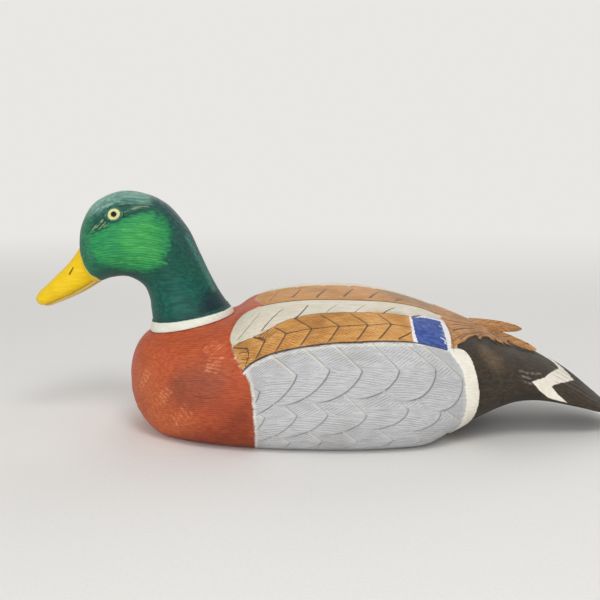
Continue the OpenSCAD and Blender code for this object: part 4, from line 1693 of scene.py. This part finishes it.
# Tones that head and bill share: base, light and dark
FACE_GREEN = ("#25664b", "#357d58", "#1d5644")
BILL_YELLOW = ("#e7bf08", "#efcc1e", "#dcb008")

# Patches on the head: places forward of the neck's axis and above the neck seat, in mm
HEAD_PATCHES = (
    PaintPatch(
        "crown", "#5f8b7e", "#88b0a1", "#446e65",
        ((-56, 82), (-50, 94), (-30, 102), (-14, 99), (-4, 91), (-8, 85), (-21, 90), (-30, 91), (-42, 88)),
        ragged=6.0, soft=4.5, comb=0.5, lines=-30,
    ),
    PaintPatch(
        "face", *FACE_GREEN,
        ((-70, 70), (-60, 84), (-50, 86), (-46, 74), (-50, 52), (-60, 48)),
        ragged=6.0, soft=6.0, comb=0.3, lines=-40,
    ),
    PaintPatch(
        "nape", "#1d4540", "#2b5952", "#18393d",
        ((-8, 96), (8, 84), (16, 60), (19, 44), (10, 46), (4, 60), (2, 72), (-6, 85)),
        ragged=6.0, soft=5.0, comb=0.4, lines=-60,
    ),
    PaintPatch(
        "neck", "#0c4c42", "#1a6456", "#0b3f39",
        ((-24, 34), (-6, 34), (14, 29), (16, 12), (0, 8), (-26, 14)),
        ragged=9.0, soft=5.0, comb=0.15, lines=60,
    ),
    PaintPatch(
        "navy", "#0b2a31", "#14363c", "#09242a", ((14, 19), (32, 17), (36, 0), (10, 0)),
        ragged=9.0, soft=6.0, comb=0.15, lines=60,
    ),
    # Painted highlight: a soft paler streak down the back of the neck
    PaintPatch(
        "nape_light", "#34756a", "#478b7e", "#2a6259",
        strokes=(((11, 59), (14, 46), (17, 34), (20.5, 19)),), breadth=1.2, ragged=2.5, soft=1.4,
    ),
    PaintPatch(
        "cheek", "#218550", "#329a56", "#1c744f",
        (
            (-49, 73), (-39, 76.5), (-27, 78.5), (-16, 80), (-8, 79), (-2, 75), (1, 68), (1, 62),
            (-1, 55), (-6, 49), (-10, 45), (-18, 43), (-26, 44.5), (-34, 47), (-42, 50), (-48, 55),
            (-51, 62), (-51, 68),
        ),
        ragged=6.0, soft=3.5, comb=0.9, lines=-14,
    ),
    # Painted highlight: brighter, yellower green in the middle of the rounded cheek
    PaintPatch(
        "cheek_glow", "#2f944a", "#41a354", "#28884c",
        ((-31, 62), (-25, 73), (-12, 77), (-4, 72), (-2, 62), (-6, 52), (-16, 47), (-27, 52)),
        ragged=9.0, soft=7.0,
    ),
    PaintPatch(
        "cheek_strokes", "#47a751", "#5cb45e", "#389850",
        strokes=(
            *(((-15 - 2 * i, 74 - 7 * i), (-8 - 2 * i, 71 - 7 * i), (-1 - i, 66 - 7 * i)) for i in range(4)),
            *(((-27 - 2 * i, 73 - 9 * i), (-21 - 2 * i, 71 - 9 * i)) for i in range(3)),
            *(((-44 + 4 * i, 57 - 2 * i), (-35 + 4 * i, 54 - 2 * i)) for i in range(3)),
        ),
        breadth=0.7, ragged=1.4, soft=0.7,
    ),
    PaintPatch(
        "crown_strokes", "#7ba496", "#92b8aa", "#668f83",
        strokes=(
            *(((-47 + 4 * i, 91 + i), (-44 + 4 * i, 94 + i), (-40 + 4 * i, 96 + 0.6 * i)) for i in range(5)),
            *(((-45 + 5 * i, 87 + i), (-41 + 5 * i, 89 + i), (-37 + 5 * i, 90 + 0.5 * i)) for i in range(3)),
        ),
        breadth=0.7, ragged=1.4, soft=0.7,
    ),
    PaintPatch(
        "eye_strokes", "#7d9568", "#a5b088", "#5c7c58",
        strokes=(
            ((-44.5, 78), (-42, 79.6), (-39, 82)), ((-42.4, 76.8), (-37.6, 80)),
            ((-39.6, 76.4), (-35.4, 78.8)), ((-47, 77.4), (-44.4, 79.4)),
            ((-24, 84), (-15, 85), (-9, 84.6)),
        ),
        breadth=0.5, ragged=1.5, soft=0.5,
    ),
)

# Where the yellow starts on the face: height on the bill and place along it, in mm
BILL_BORDER = ((-22, 3), (-14, 3), (-11, 2.5), (-6, 4), (0, 3.4), (5, 2.2), (9, 1.4), (12, 1), (22, 1))
BILL_SPAN = (BILL_BORDER[0][0], BILL_BORDER[-1][0])
BILL_ROOT = PaintPatch("bill_base", *BILL_YELLOW, ragged=0.5, soft=0.25)
EYE_CHANNEL = ((-50, 76.5), (-34, 82), (-20, 84.5), (-4, 83))
HEAD_STROKES = (
    Stroke(((-27, 88), (-19, 87.5), (-8, 84.5), (-3, 82)), 0.3, 0.3, 0.9),
    Stroke(((-25, 81), (-19, 82), (-10, 83.5)), 0.3, 0.3, 0.85),
    Stroke(((-51.5, 76), (-44.3, 80.8), (-37.5, 84)), 0.3, 0.3, 0.85),
    Stroke(((-49, 74.6), (-42, 75.6), (-35, 76.8)), 0.3, 0.3, 0.8),
    Stroke(((-45.5, 76), (-43.4, 77.3), (-38.4, 81)), 0.25, 0.15, 0.7),
    Stroke(((-43.5, 75.6), (-40.8, 76.7), (-36.5, 79.4)), 0.25, 0.15, 0.7),
    Stroke(((-24, 86), (-17, 86), (-11, 85.5)), 0.2, 0.15, 0.6),
    *(Stroke(((-10 - 4 * i, 75 - 7 * i), (-2 - i, 72 - 7 * i)), 0.2, 0.15, 0.4) for i in range(4)),
    *(Stroke(((-42 + 3 * i, 56 - 1.5 * i), (-32 + 3 * i, 53 - 1.5 * i)), 0.2, 0.15, 0.4) for i in range(4)),
)
HEAD_PAINT = BrushedPaint(
    "green acrylic on carved basswood, brushed", HEAD_PATCHES + (BILL_ROOT,),
    "#134a3e", "#1f5d4e", "#11383a", barb_dark=0.26, barb_light=0.2, burn="#11231e", pale="#c4d3b4",
    roughness=0.46,
)
BILL_PATCHES = (
    PaintPatch(
        "face_paint", *FACE_GREEN,
        ((-14, -22),) + tuple((u, v) for v, u in BILL_BORDER) + ((-14, 22),),
        ragged=0.6, soft=0.3,
    ),
    PaintPatch(
        "lower_mandible", "#dcb522", "#e9c85c", "#c99d18",
        ((-14, -22), (-14, -11.5), (8, -11), (20, -10.4), (32, -8.6), (42, -6.5), (52, -5), (52, -22)),
        ragged=0.6, soft=0.4,
    ),
)
BILL_STROKES = (
    Stroke(((16.6, 2.2), (14.6, 3.2), (12.6, 4.2)), 0.8, 0.9, 1.0, 0.2),
    Stroke([(u + 0.6, v) for v, u in BILL_BORDER], 0.6, 0.1, -0.6, 0.0),
    Stroke(((-14, -11.2), (8, -10.7), (20, -10.1), (32, -8.3), (42, -6.2), (49, -4.6)), 0.3, 0.4, 0.5, 0.0),
    Stroke(((6, -12.2), (20, -11.5), (32, -9.6), (42, -7.4)), 0.4, 0.05, -0.8),
)
BILL_PAINT = BrushedPaint(
    "yellow acrylic on carved basswood, brushed", BILL_PATCHES, *BILL_YELLOW,
    burn="#4a3510", pale="#f4e8b4", roughness=0.42,
)

# Patch on the collar: way round it from the tail side and height above the neck seat, in mm
COLLAR_PATCHES = (
    PaintPatch(
        "neck_paint", "#194642", "#245650", "#16343b",
        (
            (-6, 4.6), (15, 4.8), (40, 5.6), (70, 6.6), (93, 7.0), (116, 6.6), (146, 5.6), (171, 4.8),
            (192, 4.6), (192, 14), (-6, 14),
        ),
        ragged=0.5, soft=0.25, corners=True,
    ),
)
COLLAR_PAINT = BrushedPaint(
    "white acrylic on turned basswood, brushed", COLLAR_PATCHES, "#e4e8d8", "#eef1e6", "#d8dbca",
    barb_dark=0.2, barb_light=0.2, burn="#8d8a7c",
)


@dataclass
class TurningHead(SubAssembly):
    """The head on its neck stud, with bill, eyes, eyelids and collar.

    All sizes are in mm and agree with the solids. The seat's place and tilt come from the joint. Each
    edge gives two distances between which a hollow or a tone comes in.
    """

    body = Body.HEAD
    height: float = 97.0
    reach: float = 64.0
    width: float = 54.0
    pinch: float = 0.10
    foot_radius: float = 26.5
    collar_height: float = 7.5
    collar_radius: float = 29.5
    turn_gap: float = 0.2
    bill_length: float = 49.0
    bill_width: float = 25.0
    bill_depth: float = 27.0
    bill_droop: float = 22.5
    bill_tip_round: float = 8.0
    bill_fullness: float = 2.3
    bill_back: float = -0.2
    end_skim: float = 0.3
    bill_root: Pair = (-0.875, 0.567)
    root_margin: float = 5.0
    eye_station: float = 6.0
    eye_angle: float = 58.0
    eye_radius: float = 5.0
    eye_bulge: float = 2.2
    eye_hollow: float = 0.3
    hollow_edge: Pair = (4.2, 7.0)
    socket_edge: Pair = (5.4, 7.4)
    socket_shade: float = 0.45
    channel_depth: float = 0.7
    channel_width: float = 3.2
    cheek_bow: float = 0.006
    cheek_middle: float = -22.0
    cheek_depth: float = 0.05
    gaze: Triple = (0.10, 0.93, 0.30)
    lid_radius: float = 4.95
    lid_width: float = 1.5
    lid_rise: float = 0.55
    lid_droop: float = 0.02
    lid_corner: float = 0.10
    lid_narrow: float = 0.95
    lid_slant: float = -0.1
    head_inset: float = 0.32
    bill_inset: float = 0.05
    bill_crowding: float = 0.9
    bill_hollow: float = 0.5
    bill_hollow_place: float = 0.55
    bill_hollow_width: float = 0.35
    bill_hollow_start: Pair = (8.0, 18.0)
    bill_hollow_end: Pair = (34.0, 44.0)
    worn_pale: float = 0.5
    worn_width: float = 0.6
    collar_overlap: float = 3.0
    collar_uneven: float = 0.3
    collar_comb: float = 0.3
    rows: int = 260
    columns: int = 250
    station_samples: int = 2000
    bill_rows: int = 181
    bill_columns: int = 170
    collar_rows: int = 241

    def seat(self) -> Matrix:
        """Finds the neck seat in the joint that the head turns on.

        Returns:
            The seat's frame, in mm.
        """
        joint = next(j for j in frame["joints"] if j["name"] == "head_turn")
        up = Vector(joint["axis"]).normalized()
        across = Vector((0, 1, 0))
        turn = Matrix((across.cross(up), across, up)).transposed().to_4x4()
        return Matrix.Translation(Vector(joint["pos_m"]) / MM) @ turn

    def bill_frame(self) -> Matrix:
        """Gives the bill's frame in the neck seat's frame: X forwards along the bill, Z up.

        Returns:
            The frame, with its origin at the root.
        """
        root = Vector((self.bill_root[0] * self.reach, 0, self.bill_root[1] * self.height))
        droop = Matrix.Rotation(-math.radians(self.bill_droop), 4, "Y")
        return Matrix.Translation(root) @ droop @ Matrix.Diagonal((-1, 1, 1, 1))

    def point(self, k: Array, a: Array) -> Array:
        """Gives points of the head in the neck seat's frame.

        Args:
            k: Stations from the collar to the face.
            a: Angles round the head, from the nape.

        Returns:
            Points, with a last axis of three.
        """
        neck, seam = self.foot_radius, self.collar_height
        foot = (-neck, seam, neck, seam, neck)
        size = np.array((self.reach, self.height, self.reach, self.height, self.width / 2))
        stations = np.vstack([foot, np.array(HEAD_LINE) * size])
        throat_x, throat_z, nape_x, nape_z, half = (
            curve(list(enumerate(stations[:, c])), k) for c in range(5)
        )
        pinch = self.pinch * np.minimum(k / 3, 1)
        x = (throat_x + nape_x) / 2 + (nape_x - throat_x) / 2 * np.cos(a)
        y = half * np.sin(a) * (1 - pinch * np.cos(a))
        z = (throat_z + nape_z) / 2 + (nape_z - throat_z) / 2 * np.cos(a)
        return np.stack(np.broadcast_arrays(x, y, z), -1)

    def stations(self) -> Array:
        """Spaces the head's stations evenly over its surface.

        Returns:
            Stations from the collar to the face.
        """
        k = np.linspace(0, len(HEAD_LINE), self.station_samples)
        path = self.point(k[None, :], np.radians([[0.0], [60.0], [120.0], [180.0]]))
        step = np.linalg.norm(np.diff(path, axis=1), axis=2).max(axis=0)
        return spaced(k, step, self.columns)

    def eye_frame(self, side: Side) -> Matrix:
        """Gives an eye's frame in the neck seat's frame: X to the tail along the lids, Z outwards.

        Args:
            side: Which eye.

        Returns:
            The frame, with its origin on the head's surface.
        """
        k, a = np.array(self.eye_station), np.array(math.radians(self.eye_angle) * side.value)
        around = self.point(k, a + 0.01) - self.point(k, a - 0.01)
        along = self.point(k + 0.05, a) - self.point(k - 0.05, a)
        out = Vector(np.cross(around, along)).normalized()
        back = Vector((1, 0, self.lid_slant))
        back = (back - out * out.dot(back)).normalized()
        turn = Matrix((back, out.cross(back), out)).transposed().to_4x4()
        return Matrix.Translation(Vector(self.point(k, a))) @ turn

    def bill_section(self, t: Array) -> tuple[Array, Array, Array]:
        """Gives the bill's sections.

        Args:
            t: Places along the bill, from 0 at the root to 1 at the tip.

        Returns:
            Tops, feet and half widths.
        """
        end = rounded((1 - t) * self.bill_length, self.bill_tip_round)
        top, foot = (self.bill_depth * curve(line, t) * end for line in (BILL_TOP_LINE, BILL_FOOT_LINE))
        return top, foot, self.bill_width / 2 * curve(BILL_WIDE_LINE, t) * end

    def bill_reach(self, points: Array) -> Array:
        """Measures how far points of the face lie inside the yellow that spreads from the bill.

        Args:
            points: Points in the neck seat's frame.

        Returns:
            Distances, positive inside.
        """
        turn = np.array(self.bill_frame().inverted())
        local = points @ turn[:3, :3].T + turn[:3, 3]
        top, foot, half = self.bill_section(np.clip(local[..., 0] / self.bill_length, 0, 0.2))
        across = np.abs(local[..., 1] / half) ** self.bill_fullness
        upward = np.abs((2 * local[..., 2] - top - foot) / (top - foot)) ** self.bill_fullness
        beyond = half * ((across + upward) ** (1 / self.bill_fullness) - 1)
        ahead = local[..., 0] - curve(BILL_BORDER, np.clip(local[..., 2], *BILL_SPAN))
        return np.minimum(ahead, self.root_margin - beyond)

    def head(self) -> Piece:
        """Builds the carved head with its eye hollows, cheeks and combed paint.

        Returns:
            The piece.
        """
        angle = np.linspace(0, 2 * np.pi, self.rows)[:, None]
        points = self.point(self.stations()[None, :], angle)
        skin = Skin(points, points[..., 0].copy(), points[..., 2].copy())
        skin.draw(HEAD_PATCHES, HEAD_STROKES)
        root = np.clip(self.bill_reach(points), -FAR, FAR)
        skin.marks[BILL_ROOT.name] = root
        skin.marks["pale"] += self.worn_pale * ridge(root, self.worn_width)
        for mark in ("comb", "ink"):
            skin.marks[mark] *= 1 - ease(-0.5, 1, root)
        for side in Side:
            spot = np.array(self.eye_frame(side).translation)
            away = np.linalg.norm(points - spot, axis=2)
            skin.height -= self.eye_hollow * (1 - ease(*self.hollow_edge, away))
            skin.marks["shade"] += self.socket_shade * (1 - ease(*self.socket_edge, away))
        channel = follow(skin.u, skin.v, smooth_line(EYE_CHANNEL))[0]
        skin.height -= self.channel_depth * ridge(channel, self.channel_width)
        bow = self.cheek_bow * (skin.u - self.cheek_middle) ** 2
        skin.marks["barb"] += bow * (skin.marks["cheek"] > 0)
        comb = np.sin(skin.marks["barb"] * 2.4 + 1.6 * np.sin(skin.u / 6.0) + 1.3 * np.sin(skin.v / 3.7))
        skin.height += self.cheek_depth * (comb - 1) * ease(0, 5, skin.marks["cheek"])
        skin.settle(self.head_inset)
        skin.pinch()
        return skin.piece("carved_head", self.seat())

    def bill(self) -> Piece:
        """Builds the bill with its nostrils, mandible line and worn edges.

        Returns:
            The piece.
        """
        last = 1 - self.end_skim / self.bill_length
        ahead = np.sin(np.linspace(0, np.pi / 2, self.bill_columns))[None, :]
        t = self.bill_back + (last - self.bill_back) * ahead
        share = np.linspace(0, 1, self.bill_rows)[:, None]
        angle = 2 * np.pi * share - self.bill_crowding * np.sin(8 * np.pi * share) / 4
        top, foot, half = self.bill_section(t)
        y = half * signed_power(np.cos(angle), 2 / self.bill_fullness)
        z = (top + foot) / 2 + (top - foot) / 2 * signed_power(np.sin(angle), 2 / self.bill_fullness)
        points = np.stack(np.broadcast_arrays(t * self.bill_length, y, z), -1)
        skin = Skin(points, points[..., 0].copy(), points[..., 2].copy())
        skin.draw(BILL_PATCHES, BILL_STROKES)
        across = points[..., 1] / (self.bill_hollow_place * self.bill_width / 2)
        hollow = ridge(across - 1, self.bill_hollow_width) * (np.sin(angle) > 0)
        hollow = self.bill_hollow * hollow * ease(*self.bill_hollow_start, skin.u)
        skin.height -= hollow * (1 - ease(*self.bill_hollow_end, skin.u))
        skin.settle(self.bill_inset)
        skin.pinch()
        return skin.piece("carved_bill", self.seat() @ self.bill_frame())

    def collar(self) -> Piece:
        """Builds the collar as a hand-smoothed ring with an uneven brushed edge.

        Returns:
            The piece.
        """
        angle = np.linspace(0, 2 * np.pi, self.collar_rows)[:, None]
        low, high = self.turn_gap, self.collar_height
        wide, neck = self.collar_radius, self.foot_radius
        inner = neck - self.collar_overlap
        profile = (
            (inner, low), (wide - 0.9, low), (wide - 0.3, low + 0.25), (wide - 0.1, low + 0.9),
            (wide - 0.9, high - 3.6), (neck + 0.9, high - 1.6), (neck + 0.35, high - 0.3), (neck, high),
            (inner, high),
        )
        radius, z = smooth_line(profile, samples=5).T[:, None, :]
        uneven = 0.5 + 0.25 * np.sin(5 * angle + 1.0) + 0.15 * np.sin(13 * angle)
        uneven = uneven + 0.1 * np.sin(29 * angle + 2.0)
        radius = radius - self.collar_uneven * uneven * ease(neck, neck + 1, radius)
        points = np.stack(np.broadcast_arrays(radius * np.cos(angle), radius * np.sin(angle), z), -1)
        turn = self.collar_radius * np.broadcast_to(angle, points.shape[:2])
        skin = Skin(points, turn.copy(), points[..., 2].copy())
        skin.draw(COLLAR_PATCHES)
        skin.marks["comb"] += self.collar_comb
        skin.marks["barb"] = turn.copy()
        return skin.piece("neck_collar_ring", self.seat())

    def eye(self, side: Side) -> Piece:
        """Builds a glass eye and keeps each point's distance from its axis.

        Args:
            side: Which eye.

        Returns:
            The eye.
        """
        bm = bmesh.new()
        bmesh.ops.create_uvsphere(bm, u_segments=64, v_segments=48, radius=self.eye_radius)
        iris = bm.verts.layers.float.new("iris")
        for vert in bm.verts:
            vert[iris] = math.hypot(vert.co.x, vert.co.y) if vert.co.z > 0 else self.eye_radius
        centre = self.eye_frame(side) @ Vector((0, 0, self.eye_bulge - self.eye_radius))
        gaze = Vector((self.gaze[0], self.gaze[1] * side.value, self.gaze[2]))
        turn = gaze.to_track_quat("Z", "Y").to_matrix().to_4x4()
        return new_piece(f"{side.label}_glass_eye", bm, self.seat() @ Matrix.Translation(centre) @ turn)

    def lids(self, side: Side) -> Piece:
        """Builds the putty lids round an eye, drawn out to a corner in front and behind.

        Args:
            side: Which eye.

        Returns:
            The lids.
        """
        bm = bmesh.new()
        middle = Matrix.Translation((self.lid_radius, 0, self.lid_rise - self.lid_width / 2))
        upright = middle @ Matrix.Rotation(math.pi / 2, 4, "X")
        section = bmesh.ops.create_circle(bm, segments=14, radius=self.lid_width / 2, matrix=upright)
        edges = list({e for v in section["verts"] for e in v.link_edges})
        bmesh.ops.spin(
            bm, geom=section["verts"] + edges, cent=(0, 0, 0), axis=(0, 0, 1), angle=2 * math.pi, steps=72,
            use_merge=True,
        )
        bmesh.ops.remove_doubles(bm, verts=bm.verts, dist=0.001)
        bmesh.ops.recalc_face_normals(bm, faces=bm.faces)
        for vert in bm.verts:
            corner = (abs(vert.co.x) / self.lid_radius) ** 6
            vert.co.x *= 1 + self.lid_corner * min(corner, 1.5)
            vert.co.y *= self.lid_narrow
            vert.co.z -= self.lid_droop * vert.co.xy.length_squared
        return new_piece(f"{side.label}_eyelids", bm, self.seat() @ self.eye_frame(side))

    def build(self) -> None:
        """Builds and dresses the head with its bill, collar, eyes and lids."""
        self.dress(self.head(), "head", "painted_head", HEAD_PAINT.material())
        self.dress(self.bill(), "bill", "painted_bill", BILL_PAINT.material())
        self.dress(self.collar(), "neck_collar", "painted_collar", COLLAR_PAINT.material())
        glass, putty = PaintedGlass().material(), PressedPutty().material()
        for side in Side:
            self.dress(self.eye(side), f"{side.label}_eye", "eye_glass", glass)
            self.dress(self.lids(side), f"{side.label}_eye_putty", "eye_putty", putty)


# Fittings and stage


@dataclass
class Fittings:
    """Fittings that keep the shape of their solids and only take on a finish."""

    beech: Finish = SandedWood("beech dowel, turned", "#c9a274", "#a87c4e", 1.6, (1, 1, 8))
    cork: Finish = SandedWood("cork, pressed", "#a87c4f", "#6e4a2a", 1.2, (1, 1, 1))
    lead: Finish = DulledMetal("lead, cast", "#67696e", "#54575c", 0.8, 0.5)
    brass: Finish = DulledMetal("brass, drawn and dulled", "#b08d4a", "#7d6434", 0.5, 0.34)
    zinc: Finish = DulledMetal("steel, zinc plated", "#b4b7ba", "#8e9296", 0.5, 0.3)

    def build(self) -> None:
        """Dresses each fitting in its finish."""
        finishes = {
            self.beech: ("seam_dowels", "bill_dowel"),
            self.cork: ("neck_seal",),
            self.lead: ("ballast_weight",),
            self.brass: ("ballast_screws", "line_staple", "line_ring"),
            self.zinc: ("head_stud", "head_washer", "spring_washer", "lock_nut"),
        }
        for finish, names in finishes.items():
            material = finish.material()
            for name in names:
                mesh = frame["nodes"][name].data
                mesh.materials.clear()
                mesh.materials.append(material)
                LOG.info("%s keeps its solid: %s", name, material.name)


@dataclass
class Stage:
    """A pale floor, soft studio light and the camera, in metres."""

    target: Triple = (-0.0189, 0.0, 0.087)
    distance: float = 0.6
    pitch: float = 10.0
    focal_pixels: float = 871.0
    image_pixels: float = 600.0
    sensor: float = 36.0
    floor_size: float = 4.0
    sky_tone: str = "#e9e7e4"
    sky_light: float = 0.45
    paper: Finish = EvenPaper((0.45, 1.5), "#f1efec", "#e9e7e4")

    def floor(self) -> None:
        """Lays the floor."""
        bm = bmesh.new()
        bmesh.ops.create_grid(bm, x_segments=8, y_segments=8, size=self.floor_size / MM)
        floor = new_piece("floor", bm, Matrix(), smooth=False)
        floor.data.materials.append(self.paper.material())

    def sky(self) -> None:
        """Sets an even white light, which the camera, gloss and glass see as the pale backdrop."""
        world = bpy.data.worlds.new("studio")
        add = Nodes(world).add
        shine = add(Node.MOST, add(Node.GLOSSY_RAY), add(Node.GLASS_RAY))
        seen = add(Node.MOST, add(Node.CAMERA_RAY), shine)
        light = add(Node.LIGHT, "#ffffff", self.sky_light)
        backdrop = add(Node.LIGHT, self.sky_tone, 1.0)
        add(Node.WORLD, add(Node.SWITCH, seen, light, backdrop))
        bpy.context.scene.world = world

    def lamp(self, name: str, place: Triple, power: float, size: float) -> None:
        """Hangs a soft square lamp that faces the decoy.

        Args:
            name: Name of the lamp.
            place: Where it hangs.
            power: Its power in watts.
            size: Its width.
        """
        data = bpy.data.lights.new(name, "AREA")
        data.energy, data.size = power, size
        lamp = new_object(name, data)
        lamp.location = place
        lamp.rotation_euler = (Vector(self.target) - Vector(place)).to_track_quat("-Z", "Y").to_euler()

    def camera(self) -> None:
        """Places the camera at the photograph's angle."""
        data = bpy.data.cameras.new("camera")
        data.sensor_width = self.sensor
        data.lens = self.sensor * self.focal_pixels / self.image_pixels
        camera = new_object("camera", data)
        pitch = math.radians(self.pitch)
        away = self.distance * Vector((0, -math.cos(pitch), math.sin(pitch)))
        camera.location = Vector(self.target) + away
        camera.rotation_euler = (math.pi / 2 - pitch, 0, 0)
        bpy.context.scene.camera = camera

    def build(self) -> None:
        """Builds floor, lights and camera."""
        self.floor()
        self.sky()
        self.lamp("key", (0.2, -0.75, 1.15), 5.0, 0.45)
        self.lamp("front", (-0.45, -1.4, 0.5), 10.0, 1.3)
        self.lamp("back", (0.2, 1.2, 0.9), 4.0, 1.0)
        self.camera()
        bpy.context.scene.view_settings.view_transform = "Standard"


def main() -> None:
    """Builds the stage and every piece of the decoy."""
    logging.basicConfig(level=logging.INFO, format="%(name)s: %(message)s")
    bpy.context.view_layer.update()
    for part in (Stage(), CarvedBody(), TurningHead(), Fittings()):
        part.build()


if __name__ == "__main__":
    main()
